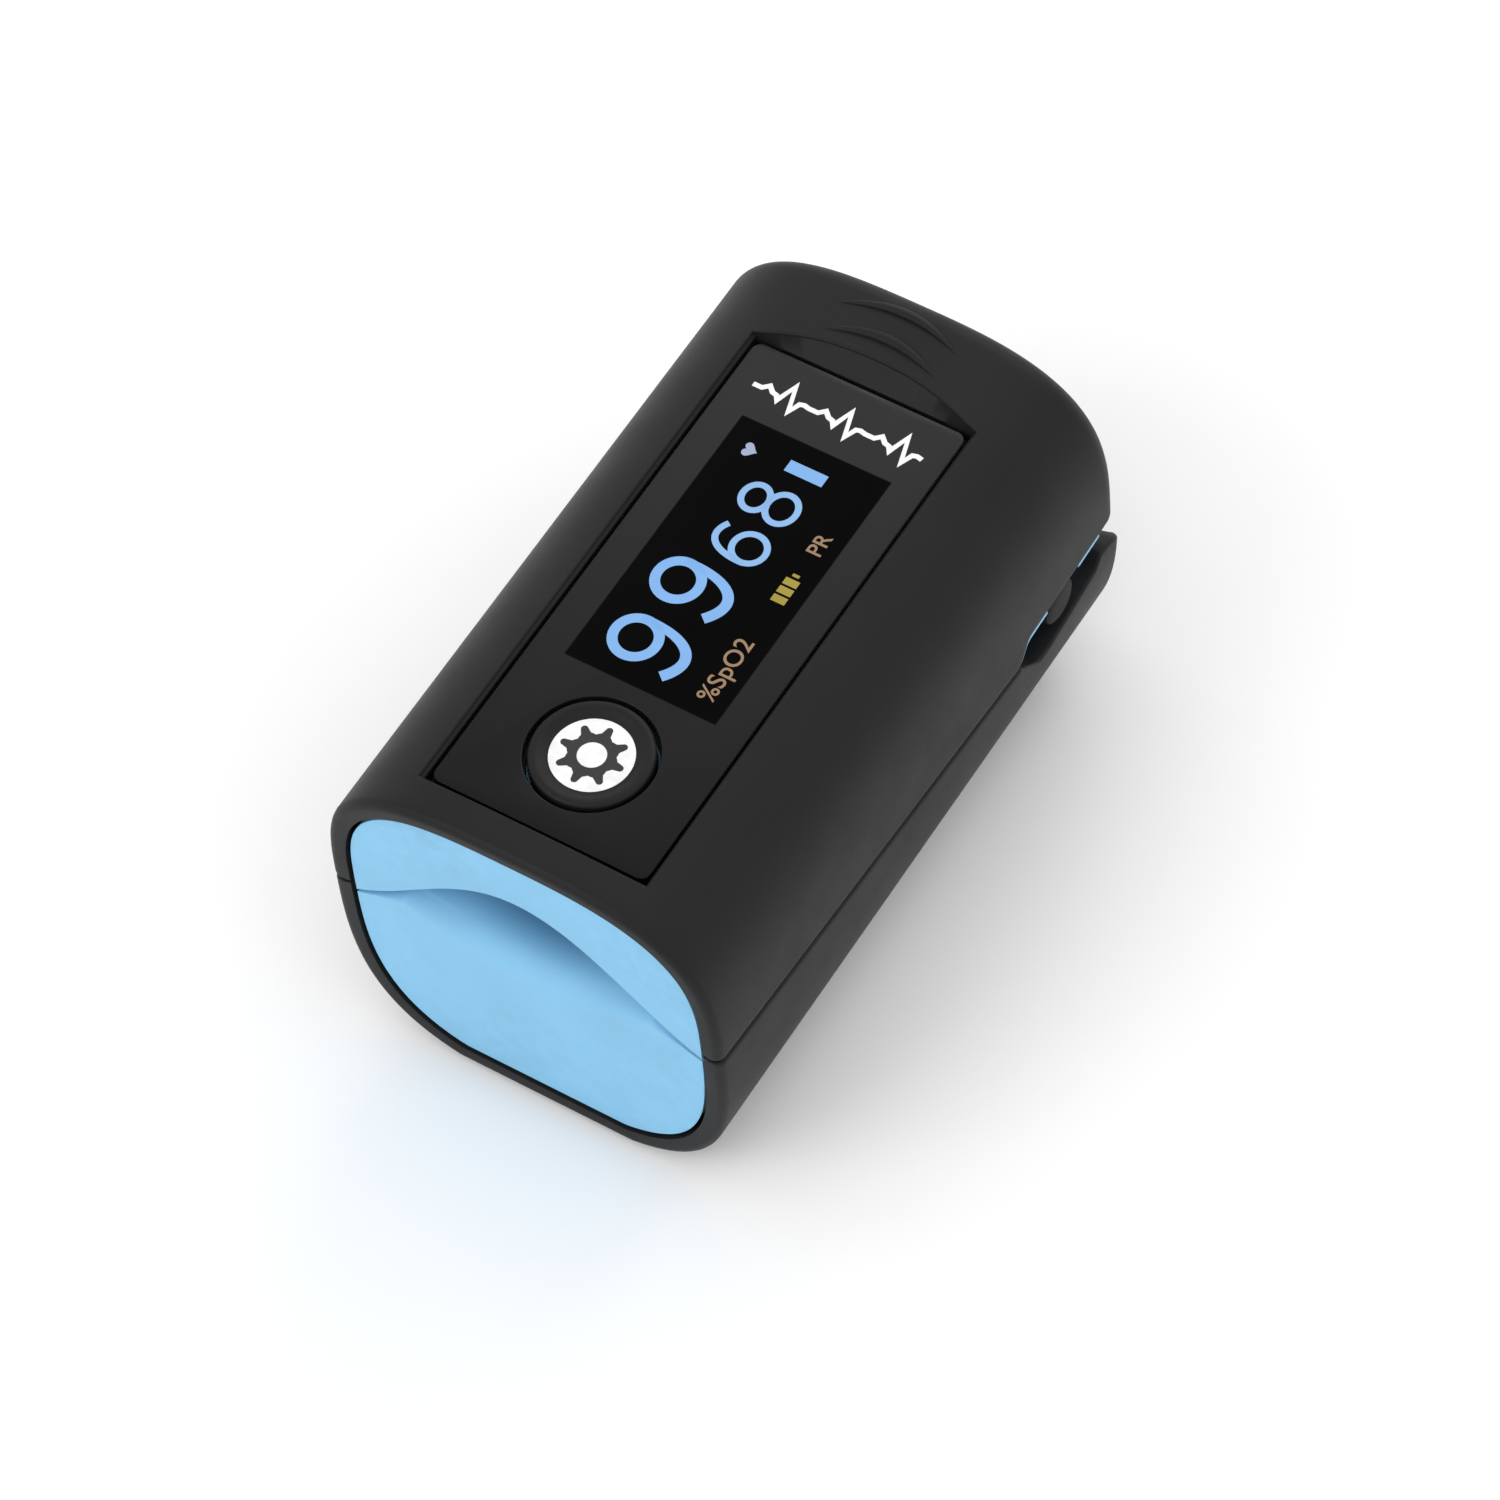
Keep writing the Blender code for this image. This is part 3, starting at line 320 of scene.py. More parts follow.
def board_finish():
    """Solder mask over copper: lighter green where the tracks run, with small tinned pads."""
    made = Finish("circuit_board", (0.01, 0.10, 0.045), 0.35, Coat_Weight=0.3)
    cells = made.node("ShaderNodeTexBrick", Scale=420, Mortar_Size=0.06, Color1=(0, 0, 0, 1),
                      Color2=(0.15, 0.15, 0.15, 1), Mortar=(1, 1, 1, 1), Vector=made.place)
    track = made.math("MULTIPLY", cells.outputs["Color"], made.mottle(500, 1.0, 0.45, 0.5))
    made.link(made.blend(track, (0.008, 0.085, 0.038), (0.03, 0.22, 0.09)), "Base Color")
    made.link(made.mottle(900, 3.0, 0.3, 0.7, 0.28, 0.45), "Roughness")
    made.bump(track, 0.03 * MM, 0.6)
    return made.material


def ribbon_finish():
    """Polyimide film with copper tracks along it."""
    made = Finish("ribbon_film", (0.50, 0.22, 0.04), 0.3, Coat_Weight=0.4)
    wave = made.math("SINE", made.math("MULTIPLY", made.axis("X"), math.tau / (0.6 * MM)))
    track = made.spread(wave, 0.0, 0.25)
    made.link(made.blend(track, (0.50, 0.22, 0.04), (0.62, 0.34, 0.10)), "Base Color")
    made.link(made.mottle(1200, 3.0, 0.3, 0.7, 0.22, 0.4), "Roughness")
    made.bump(track, 0.01 * MM, 0.6)
    return made.material


def floor_finish():
    """A plain pale studio floor that melts into the surround far from the object."""
    made = Finish("studio_floor", (0.92, 0.92, 0.92), 0.9, Specular_IOR_Level=0.0)
    flat = made.math("ADD", made.math("POWER", made.axis("X"), 2.0), made.math("POWER", made.axis("Y"), 2.0))
    far = made.spread(made.math("SQRT", flat), 0.2, 1.2)
    mottled = made.blend(made.noise(40, 3.0), (0.90, 0.90, 0.90), (0.94, 0.94, 0.94))
    made.link(made.blend(far, mottled, (0.0, 0.0, 0.0)), "Base Color")
    made.shader.inputs["Emission Color"].default_value = (1.0, 1.0, 1.0, 1.0)
    made.link(made.math("MULTIPLY", far, SURROUND), "Emission Strength")
    made.bump(made.noise(900, 3.0), 0.02 * MM, 0.2)
    return made.material


SURROUND = 1.0
CHARCOAL = (0.0083, 0.0083, 0.0087)
SKY = (0.222, 0.492, 0.717)

SKINS = {
    "charcoal_plastic": moulded("charcoal_plastic", CHARCOAL, 0.46, 5200, 0.012 * MM,
                                Specular_IOR_Level=0.19),
    "button_plastic": moulded("button_plastic", scaled(CHARCOAL, 0.8), 0.42, 7000, 0.006 * MM,
                              Specular_IOR_Level=0.2),
    "sky_plastic": moulded("sky_plastic", SKY, 0.4, 6000, 0.006 * MM, 0.05, 1.1,
                           Specular_IOR_Level=0.25),
    "sky_silicone": moulded("sky_silicone", SKY, 0.52, 4200, 0.008 * MM, 0.05, 1.08,
                            Subsurface_Weight=0.12, Subsurface_Scale=0.6 * MM,
                            Specular_IOR_Level=0.2),
    "white_plastic": moulded("white_plastic", (0.72, 0.72, 0.70), 0.4, 6000, 0.006 * MM, 0.04, 1.05),
    # Near-black for the chips, also used as painted shade on the hinge caps and on the ring under the button
    # gap.
    "chip_black": moulded("chip_black", (0.006, 0.006, 0.0065), 0.5, 8000, 0.01 * MM,
                          Specular_IOR_Level=0.15),
    "panel_lens": lens_finish(),
    "display_glass": printed_finish("display_glass", (0.006, 0.007, 0.010), 0.2),
    "spring_steel": metal_finish("spring_steel", (0.56, 0.56, 0.58), 0.28, (1.0, 0.1, 0.1)),
    "nickel_contact": metal_finish("nickel_contact", (0.70, 0.67, 0.60), 0.24, (0.1, 1.0, 0.1)),
    "cell_sleeve": cell_finish(),
    "circuit_board": board_finish(),
    "ribbon_film": ribbon_finish(),
    "clear_window": moulded("clear_window", (0.62, 0.70, 0.74), 0.12, 3000, 0.002 * MM, 0.04, 1.0,
                            Transmission_Weight=0.6, IOR=1.49),
}


# ---------------------------------------------------------------- mesh helpers

def placed(name, data):
    """A new object in the scene."""
    made = bpy.data.objects.new(name, data)
    bpy.context.scene.collection.objects.link(made)
    return made


def baked(source):
    """The mesh that an object ends up with, modifiers and all."""
    bpy.context.view_layer.update()
    return bpy.data.meshes.new_from_object(
        source.evaluated_get(bpy.context.evaluated_depsgraph_get()))


def mesh_piece(name, bm, slot, body, stands_for=(), sharp_degrees=40, skin=None):
    """Turn a bmesh in millimetres into a piece that rides on a body, in its slot's skin or another."""
    bmesh.ops.recalc_face_normals(bm, faces=bm.faces)
    mesh = bpy.data.meshes.new(name)
    bm.to_mesh(mesh)
    bm.free()
    mesh.transform(Matrix.Scale(MM, 4))
    mesh.materials.append(skin or SKINS[slot])
    mesh.shade_smooth()
    mesh.set_sharp_from_angle(angle=math.radians(sharp_degrees))
    made = placed(name, mesh)
    if body:
        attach(made, body)
    if stands_for:
        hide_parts(*stands_for)
    return made


def refined(node, body, slot, width):
    """A CAD node with its edges rounded and its finish on."""
    bm = bmesh.new()
    bm.from_mesh(frame["nodes"][node].data)
    bmesh.ops.scale(bm, vec=(1 / MM,) * 3, verts=bm.verts)
    bmesh.ops.remove_doubles(bm, verts=bm.verts, dist=0.001)
    bmesh.ops.dissolve_limit(bm, angle_limit=math.radians(0.6), verts=bm.verts, edges=bm.edges)
    made = mesh_piece(node + "_fine", bm, slot, body, (node,), 30)
    if width:
        edge = made.modifiers.new("edge", "BEVEL")
        edge.width = width * MM
        edge.segments = 2
        edge.limit_method = "ANGLE"
        edge.angle_limit = math.radians(38)
        edge.use_clamp_overlap = True
        edge.harden_normals = True


def strip(bm, near, far):
    """Quads between two open rows of vertices."""
    for index in range(len(near) - 1):
        bm.faces.new((near[index], near[index + 1], far[index + 1], far[index]))


def hoop(bm, near, far):
    """Quads between two closed rows of vertices."""
    count = len(near)
    for index in range(count):
        after = (index + 1) % count
        bm.faces.new((near[index], near[after], far[after], far[index]))


def row_of(bm, points):
    """A row of vertices."""
    return [bm.verts.new(point) for point in points]


def loft(rings):
    """A closed solid through closed rings."""
    bm = bmesh.new()
    rows = [row_of(bm, ring) for ring in rings]
    for near, far in zip(rows, rows[1:]):
        hoop(bm, near, far)
    bm.faces.new(rows[0])
    bm.faces.new(rows[-1])
    bmesh.ops.recalc_face_normals(bm, faces=bm.faces)
    return bm


def turned(profile, centre, axis="Z", segments=72):
    """A (radius, height) profile turned about an axis through a centre."""
    along = "XYZ".index(axis)
    rings = []
    for radius, height in profile:
        ring = []
        for index in range(segments):
            angle = math.tau * index / segments
            spot = [radius * math.cos(angle), radius * math.sin(angle)]
            spot.insert(along, height)
            ring.append(tuple(Vector(spot) + Vector(centre)))
        rings.append(ring)
    return loft(rings)


def evenly(points, count):
    """A line of 2D points sampled again, evenly along its length."""
    line = np.array(points)
    steps = np.hypot(*np.diff(line, axis=0).T)
    along = np.concatenate(([0.0], np.cumsum(steps)))
    wanted = np.linspace(0.0, along[-1], count)
    return [(float(u), float(v)) for u, v in
            zip(np.interp(wanted, along, line[:, 0]), np.interp(wanted, along, line[:, 1]))]


def cut_with(piece, bm, operation="DIFFERENCE"):
    """Cut or join a piece with a closed solid, and keep the result as its mesh."""
    mesh = bpy.data.meshes.new("tool")
    bm.to_mesh(mesh)
    bm.free()
    mesh.transform(Matrix.Scale(MM, 4))
    tool = placed("tool", mesh)
    change = piece.modifiers.new("cut", "BOOLEAN")
    change.operation = operation
    change.object = tool
    change.solver = "EXACT"
    made = baked(piece)
    piece.modifiers.remove(change)
    piece.data = made
    bpy.data.objects.remove(tool, do_unlink=True)
    piece.data.shade_smooth()
    piece.data.set_sharp_from_angle(angle=math.radians(38))


def block(low, high):
    """A plain box to cut away or to join on."""
    bm = bmesh.new()
    bmesh.ops.create_cube(bm, size=1.0)
    for vertex in bm.verts:
        for axis in range(3):
            vertex.co[axis] = low[axis] if vertex.co[axis] < 0 else high[axis]
    return bm


def rounded(corners, steps=8):
    """The outline through (u, v, radius) corners, with each corner turned into an arc."""
    outline = []
    for index, (u, v, radius) in enumerate(corners):
        here = Vector((u, v))
        if radius == 0:
            outline.append((u, v))
            continue
        back = (Vector(corners[index - 1][:2]) - here).normalized()
        ahead = (Vector(corners[(index + 1) % len(corners)][:2]) - here).normalized()
        half = back.angle(ahead) / 2
        centre = here + (back + ahead).normalized() * (radius / math.sin(half))
        reach = radius / math.tan(half)
        start = here + back * reach - centre
        sweep = start.angle_signed(here + ahead * reach - centre)
        for step in range(steps + 1):
            outline.append(tuple(centre + Matrix.Rotation(-sweep * step / steps, 2) @ start))
    return outline


# ---------------------------------------------------------------- design curves

def quarter(steps):
    """Sine and cosine through a quarter turn, with both ends."""
    turns = [math.pi / 2 * step / steps for step in range(steps + 1)]
    return [(math.sin(turn), math.cos(turn)) for turn in turns]


def half_height(upper, inset):
    """Height of the section's upper or lower half above or below its widest point."""
    return (CROWN_Z - WIDEST_Z if upper else WIDEST_Z + FOOT_SINK) - inset


def side_x(z, inset):
    """Half-width of the section at a height."""
    upper = z >= WIDEST_Z
    power = TOP_POWER if upper else BOTTOM_POWER
    share = min(abs(z - WIDEST_Z) / half_height(upper, inset), 1.0)
    return (HALF_WIDTH - inset) * (1 - share ** power) ** (1 / power)


def crown_height(x):
    """Height of the crown above a place across the housing."""
    share = min(abs(x) / HALF_WIDTH, 1.0)
    return WIDEST_Z + (CROWN_Z - WIDEST_Z) * (1 - share ** TOP_POWER) ** (1 / TOP_POWER)


def section(inset, cut_z, upper, count):
    """Points (x, z) of the section from +X over the crown, or under the foot, to -X."""
    over = cut_z >= WIDEST_Z
    share = min(abs(WIDEST_Z - cut_z) / half_height(over, inset), 1.0)
    start = math.asin(share ** ((TOP_POWER if over else BOTTOM_POWER) / 2)) * (1 if over else -1)
    stop = math.pi - start if upper else -math.pi - start
    points = []
    for angle in np.linspace(start, stop, 600):
        high = math.sin(angle) >= 0
        power = 2 / (TOP_POWER if high else BOTTOM_POWER)
        wide = math.copysign(abs(math.cos(angle)) ** power, math.cos(angle))
        tall = math.copysign(abs(math.sin(angle)) ** power, math.sin(angle))
        z = WIDEST_Z + half_height(high, inset) * tall
        points.append(((HALF_WIDTH - inset) * wide, max(z, inset)))
    return evenly(points, count)


def seam_z(y):
    """Height of the seam between the shells in front of the side slots."""
    rear_y, rear_z = SEAM_REAR
    return rear_z + (SEAM_FRONT_Z - rear_z) * (rear_y - y) / (rear_y + 28.5)


def arch_z(x):
    """Height of the channel's roof."""
    reach = min(abs(x) / ARCH_HALF_WIDTH, 1.0)
    return ARCH_FOOT_Z + ARCH_RISE * (0.5 + 0.5 * math.cos(math.pi * reach)) ** ARCH_POWER


def smooth_step(low, high, value):
    """0 below low, 1 above high and a smooth rise between."""
    t = min(max((value - low) / (high - low), 0.0), 1.0)
    return t * t * (3 - 2 * t)


def bed_z(x, y):
    """Height of the lower finger bed."""
    depth = BED_DEPTH * smooth_step(FLANGE_FRONT_Y, -20.0, y)
    depth *= 1 - 0.8 * smooth_step(1.0, PAD_END_Y, y)
    across = max(0.0, 1 - (x / BED_HALF_WIDTH) ** 2) ** 1.3
    return min(arch_z(x) - GAP, LIP_Z - depth * across)


# ---------------------------------------------------------------- shells

EDGE = 0.28
ACROSS = 150
INNER_ROUND = 0.8
UPPER_CLOSE_INSET = 13.6
LOWER_CLOSE_INSET = 11.0


def line_height(outline, y):
    """Height of an outline that runs along Y."""
    return float(np.interp(y, [point[0] for point in outline], [point[1] for point in outline]))


def upper_edge():
    """Lower edge of the upper shell, seen from the side."""
    tip_y = SEAM_REAR[0] - 0.2
    return rounded([(-30.0, seam_z(-30.0) + 0.15, 0), (tip_y, seam_z(tip_y) + 0.15, 0.35),
                    (tip_y + 1.4, 16.6, 0.9), (30.0, 17.5, 0)])


DOOR_HALF_WIDTH = 7.7
LUG_TOP_Z = 14.4
LUG_CORNER = (LOWER_REAR_Y - 3.1, LUG_TOP_Z - 3.1, 3.1)
TAIL_START_Y = 12.0
TAIL_ROUND = 4.5


def lower_edge():
    """Upper edge of the lower shell, seen from the side, with the slot and the lug behind it."""
    line = rounded([(-30.0, seam_z(-30.0) - 0.15, 0), (SEAM_REAR[0], seam_z(SEAM_REAR[0]) - 0.15, 0.4),
                    (15.9, 11.7, 1.0), (17.4, 11.7, 1.5), (24.1, 13.3, 0.6), (24.9, LUG_TOP_Z, 0.4),
                    (30.0, LUG_TOP_Z, 0)])
    centre_y, centre_z, radius = LUG_CORNER
    return [point for point in line if point[0] < centre_y] + [
        (centre_y + radius * rise, centre_z + radius * run) for rise, run in quarter(14)]


def rear_limit(z):
    """How far back the lower shell reaches at a height: its tail curves in under the lug."""
    tail = rounded([(-1.0, LOWER_REAR_Y - 6.0, 0), (0.75, LOWER_REAR_Y - 3.6, TAIL_ROUND),
                    (6.3, LOWER_REAR_Y, TAIL_ROUND), (30.0, LOWER_REAR_Y, 0)])
    return line_height(tail, z)




def tail_y(y, z, rear):
    """Where a station's point lies once the tail's curve has drawn it in."""
    if y <= TAIL_START_Y:
        return y
    share = (y - TAIL_START_Y) / (rear - TAIL_START_Y)
    return TAIL_START_Y + share * (min(rear_limit(z) - (LOWER_REAR_Y - rear), rear) - TAIL_START_Y)


def shell_stations(rear_y, rear_round, close_inset, dense):
    """Matching (y, inset) stations of a shell's outer and inner face, from the mouth to the rear."""
    outer, inner = [], []
    for step, (rise, run) in enumerate(quarter(6)):
        outer.append((FRONT_Y + FRONT_ROUND * (1 - run), FRONT_ROUND * (1 - rise)))
        inner.append((FRONT_Y + 0.1 + 0.1 * step, WALL))
    start = rear_y - rear_round
    plain = set(np.round(np.arange(FRONT_Y + 1.5, start - 0.4, 0.9), 3).tolist())
    plain |= {round(y, 3) for y in dense if FRONT_Y + 1.0 < y < start - 0.02}
    for y in sorted(plain):
        outer.append((y, 0.0))
        inner.append((min(y, rear_y - WALL - 1.2), WALL))
    deep = rear_y - WALL
    for rise, run in quarter(12):
        outer.append((rear_y - rear_round * (1 - rise), rear_round * (1 - run)))
        inner.append((deep - 1.1 * (1 - rise), WALL + INNER_ROUND * (1 - run)))
    for share in np.linspace(0.0, 1.0, 9)[1:].tolist():
        outer.append((rear_y, rear_round + (close_inset - rear_round) * share))
        inner.append((deep, WALL + INNER_ROUND + (close_inset - WALL - INNER_ROUND) * share))
    return outer, inner


def shell(name, upper, outline, stations, place, slot, body, node):
    """A shell of even wall with a rolled edge along its cut, as one closed mesh."""
    sign = 1 if upper else -1
    bm = bmesh.new()
    outer_rows, inner_rows = [], []
    for (y, inset), (deep_y, deep_inset) in zip(*stations):
        cut = line_height(outline, y)
        start_z = cut + sign * EDGE
        arc = section(inset, start_z, upper, ACROSS)
        roll = []
        for rise, run in quarter(4)[1:]:
            z = start_z - sign * EDGE * rise
            roll.append((max(side_x(z, inset) - EDGE * (1 - run), 0.05), z))
        line = roll[::-1] + arc + [(-x, z) for x, z in roll]
        outer_rows.append(row_of(bm, [(x, place(y, z, False), z) for x, z in line]))
        deep_arc = section(deep_inset, line_height(outline, deep_y), upper, ACROSS + 8)
        inner_rows.append(row_of(bm, [(x, place(deep_y, z, True), z) for x, z in deep_arc]))
    for rows in (outer_rows, inner_rows):
        for near, far in zip(rows, rows[1:]):
            strip(bm, near, far)
        bm.faces.new(rows[-1])
    strip(bm, outer_rows[0], inner_rows[0])
    for end in (0, -1):
        strip(bm, [row[end] for row in outer_rows], [row[end] for row in inner_rows])
    last_out, last_in = outer_rows[-1], inner_rows[-1]
    bm.faces.new((last_out[0], last_out[-1], last_in[-1], last_in[0]))
    return mesh_piece(name, bm, slot, body, (node,), 38)


def recess_rings():
    """Rings of the panel recess: the tray round the lens, the slope to the crown and a rolled lip."""
    half = PANEL_HALF_WIDTH
    steps = 36
    lens, crown = [], []
    for end_y, way in ((PANEL_REAR_Y, 1), (PANEL_FRONT_Y, -1)):
        for index in range(steps + 1):
            x = way * half * (1 - 2 * index / steps)
            away = 0.3 + 2.0 * (1 - (x / half) ** 2) if way > 0 else -0.8
            lens.append((x, end_y))
            crown.append((x * (half + 1.3) / half, end_y + away))
    slope_top = CROWN_Z + GAP
    floor = [(x, y, PANEL_FLOOR_Z) for x, y in lens]
    ledge = [(x, y, PANEL_TOP_Z) for x, y in lens]
    radius = 0.24
    lips = [[] for _ in range(6)]
    for (x, y), (far_x, far_y) in zip(lens, crown):
        share = (crown_height(x) - radius - PANEL_TOP_Z) / (slope_top - PANEL_TOP_Z)
        near = Vector((x, y)).lerp(Vector((far_x, far_y)), max(share, 0.02))
        out = (Vector((far_x, far_y)) - Vector((x, y))).normalized()
        for index, ring in enumerate(lips):
            turn = math.radians(14 * index)
            spot = near + out * radius * (1 - math.cos(turn))
            ring.append((spot.x, spot.y, crown_height(spot.x) - radius * (1 - math.sin(turn))))
    above = []
    for (x, y, z), (far_x, far_y) in zip(lips[-1], crown):
        out = (Vector((far_x, far_y)) - Vector((x, y)))
        above.append((x * 1.004, y + math.copysign(0.05, out.y), z + 1.2))
    return [floor, ledge] + lips + [above]


# Place, half-length, width and height of each ridge
GRIP_RIDGES = ((23.0, 4.7, 1.1, 0.38), (25.6, 5.0, 0.95, 0.34))


def make_upper_shell():
    """The upper cover with its dished panel recess and the crescent grip ridges."""
    outline = upper_edge()
    dense = [point[0] for point in outline] + list(np.arange(12.4, 15.4, 0.25))
    stations = shell_stations(UPPER_REAR_Y, REAR_ROUND, UPPER_CLOSE_INSET, dense)
    made = shell("upper_shell_fine", True, outline, stations, lambda y, z, inside: y,
                 "charcoal_plastic", "upper_half", "upper_shell")
    tray = block((-9.9, -26.4, 29.2), (9.9, 23.0, 31.2))
    cut_with(made, tray, "UNION")
    cut_with(made, loft(recess_rings()))
    bore = BUTTON_RADIUS + 0.5
    cut_with(made, turned([(bore, 28.0), (bore, 30.6)], (0, BUTTON_Y, 0)))
    low, high = span("oled_display")
    cut_with(made, block((low.x - GAP, low.y - GAP, 28.0), (high.x + GAP, high.y + GAP, 30.9)))
    for index, measures in enumerate(GRIP_RIDGES):
        mesh_piece("grip_ridge_%d" % index, ridge(*measures), "charcoal_plastic", "upper_half")


def ridge(y, half_length, width, height):
    """A crescent ridge with a crisp front edge and a soft back, lying on the crown."""
    rings = []
    steps = 40
    for step in range(steps + 1):
        t = 2 * step / steps - 1
        fade = max(1 - t * t, 0.004)
        x = half_length * t
        middle = y - 1.35 * t * t
        ground = rear_crown(x, middle) - 0.25
        ring = []
        for turn in np.linspace(0, math.pi, 13):
            lean = 0.25 * math.sin(turn)
            v = middle + width / 2 * fade ** 0.7 * (-math.cos(turn) - lean)
            ring.append((x, v, ground + (0.25 + height * fade ** 0.8) * math.sin(turn) ** 0.8))
        rings.append(ring)
    return loft(rings)


def rear_crown(x, y):
    """Height of the crown where it rounds over at the rear."""
    over = max(0.0, y - (UPPER_REAR_Y - REAR_ROUND))
    drop = REAR_ROUND - math.sqrt(max(REAR_ROUND ** 2 - over ** 2, 0.0))
    return crown_height(x) - drop


def make_lower_shell():
    """The lower cover with its lug, the battery opening and the door's grooves."""
    outline = lower_edge()
    dense = [point[0] for point in outline] + list(np.arange(12.4, 26.8, 0.3))
    stations = shell_stations(LOWER_REAR_Y, LUG_ROUND, LOWER_CLOSE_INSET, dense)

    def place(y, z, inside):
        return tail_y(y, z, LOWER_REAR_Y - (WALL if inside else 0.0))

    made = shell("lower_shell_fine", False, outline, stations, place,
                 "charcoal_plastic", "lower_half", "lower_shell")
    low, high = span("battery_door")
    half = DOOR_HALF_WIDTH + GAP
    cut_with(made, block((-half, low.y - GAP, -1.0), (half, 32.0, 2.2)))
    cut_with(made, block((low.x - GAP, low.y - GAP - 1.1, 0.95), (high.x + GAP, 32.0, 2.6)))


# ---------------------------------------------------------------- finger pads

# Depth of the rolled mouth of the upper pad and of the lower one
MOUTH_ROLL = {True: 0.4, False: 6.5}


def lip_drop(x, y, upper):
    """How far the pad's surface is rolled back from the channel near the mouth."""
    depth = MOUTH_ROLL[upper]
    height = depth if upper else 3.4 * max(0.0, 1 - (x / 13.0) ** 2) + 0.25
    over = min(max((y - FLANGE_FRONT_Y) / depth, 0.0), 1.0)
    return height * (1 - math.sqrt(1 - (1 - over) ** 2))


def pad_stations(upper):
    """(y, inset) stations of a pad: its flange in the mouth, then the narrower bed."""
    depth = MOUTH_ROLL[upper]
    near = [FLANGE_FRONT_Y + depth * (1 - run) for _, run in quarter(26)]
    flange = sorted({round(y, 4) for y in near + [-28.0, -27.6, -27.2] if y < FLANGE_BACK_Y - 0.03})
    bed = [y for y in near if y > FLANGE_BACK_Y + 0.1]
    bed += list(np.arange(max(near[-1], FLANGE_BACK_Y) + 0.3, PAD_END_Y - 1.2, 0.55))
    stations = [(y, FRAME_INSET) for y in flange] + [(FLANGE_BACK_Y, FRAME_INSET)]
    stations += [(y, PAD_INSET) for y in [FLANGE_BACK_Y + 0.05] + sorted(bed)]
    return stations + [(PAD_END_Y - 1.1, PAD_INSET), (PAD_END_Y - 0.75, PAD_INSET), (PAD_END_Y, PAD_INSET)]


def pad(name, upper):
    """A soft finger pad: a flange with a rolled edge in the mouth, the bed and a stop at the end."""
    limit = span("upper_finger_pad")[1].z if upper else 14.0
    seam_low = ARCH_FOOT_Z if upper else ARCH_FOOT_Z - GAP
    across, around = 121, 80
    rings = []
    for y, inset in pad_stations(upper):
        outside = section(inset, seam_low, upper, around)
        if inset == PAD_INSET:
            outside = [(x, min(z, limit) if upper else max(z, limit)) for x, z in outside]
        half = outside[0][0]
        points = [(x, y, z) for x, z in outside]
        for step in range(1, across - 1):
            x = half * (2 * step / (across - 1) - 1)
            roll = lip_drop(x, y, upper) * (1 - abs(x / half) ** 6)
            if not upper:
                z = bed_z(x, y) - roll
            elif y > PAD_END_Y - 1.0:
                z = bed_z(x, y) + STOP_GAP
            else:
                z = arch_z(x) + roll
            points.append((x, y, z))
        rings.append(points)
    made = mesh_piece(name + "_fine", loft(rings), "sky_silicone",
                      "upper_half" if upper else "lower_half", (name,), 50)
    low, high = (22.0, 28.0) if upper else (10.0, 20.0)
    bore = WINDOW_RADIUS + GAP
    cut_with(made, turned([(bore, low), (bore, high)], (0, SENSOR_Y, 0)))
    if not upper:
        cut_with(made, block((-2.4, SENSOR_Y + 1.0, 13.0), (2.4, PAD_END_Y + 1.0, 14.45)))
    return made


def make_seam_lip():
    """A thin lip inside the lower shell that closes the seam on both sides."""
    for side, suffix in SIDES:
        rings = []
        for y in np.arange(FRONT_Y + 0.4, 12.1, 0.8):
            low, high = seam_z(y) - 1.3, seam_z(y) + 0.75
            heights = np.linspace(low, high, 5)
            outer = [(side * side_x(z, WALL + 0.04), y, z) for z in heights]
            inner = [(side * side_x(z, WALL + 0.24), y, z) for z in heights[::-1]]
            rings.append(outer + inner)
        mesh_piece("seam_lip" + suffix, loft(rings), "charcoal_plastic", "lower_half")


def make_slot_trim():
    """The upper frame's flanges, which show along the top of both side slots beside the hinge."""
    outline = upper_edge()
    for side, suffix in SIDES:
        for index, (start, stop) in enumerate(((13.4, 17.2), (21.8, 24.8))):
            rings = []
            for y in np.linspace(start, stop, 24):
                high = line_height(outline, y) - 0.04
                low = high - 0.45
                outer = [side * (side_x(z, 0.0) - 0.12) for z in (low + 0.08, high)]
                rings.append([(side * 14.3, y, high), (side * 14.3, y, low),
                              (outer[0] - side * 0.08, y, low), (outer[0], y, low + 0.08),
                              (outer[1], y, high)])
            mesh_piece("slot_trim_%d%s" % (index, suffix), loft(rings), "sky_plastic", "upper_half")


# ---------------------------------------------------------------- panel

def plate(outline, holes, low, high, bevel):
    """A flat plate with rounded edges between two heights, as a bmesh in millimetres."""
    curve = bpy.data.curves.new("plate", "CURVE")
    curve.dimensions = "2D"
    curve.fill_mode = "BOTH"
    curve.extrude = (high - low) / 2 - bevel
    curve.bevel_depth = bevel
    curve.bevel_resolution = 2
    curve.offset = -bevel
    for line in (outline, *holes):
        spline = curve.splines.new("POLY")
        spline.points.add(len(line) - 1)
        for point, (u, v) in zip(spline.points, line):
            point.co = (u, v, 0.0, 1.0)
        spline.use_cyclic_u = True
    source = placed("plate", curve)
    bm = bmesh.new()
    bm.from_mesh(baked(source))
    bpy.data.objects.remove(source, do_unlink=True)
    bmesh.ops.remove_doubles(bm, verts=bm.verts, dist=0.0005)
    bmesh.ops.translate(bm, vec=(0, 0, (low + high) / 2), verts=bm.verts)
    return bm


def oval(centre, reach_u, reach_v, count=48):
    """Points of a circle or an ellipse."""
    return [(centre[0] + reach_u * math.cos(math.tau * i / count),
             centre[1] + reach_v * math.sin(math.tau * i / count)) for i in range(count)]


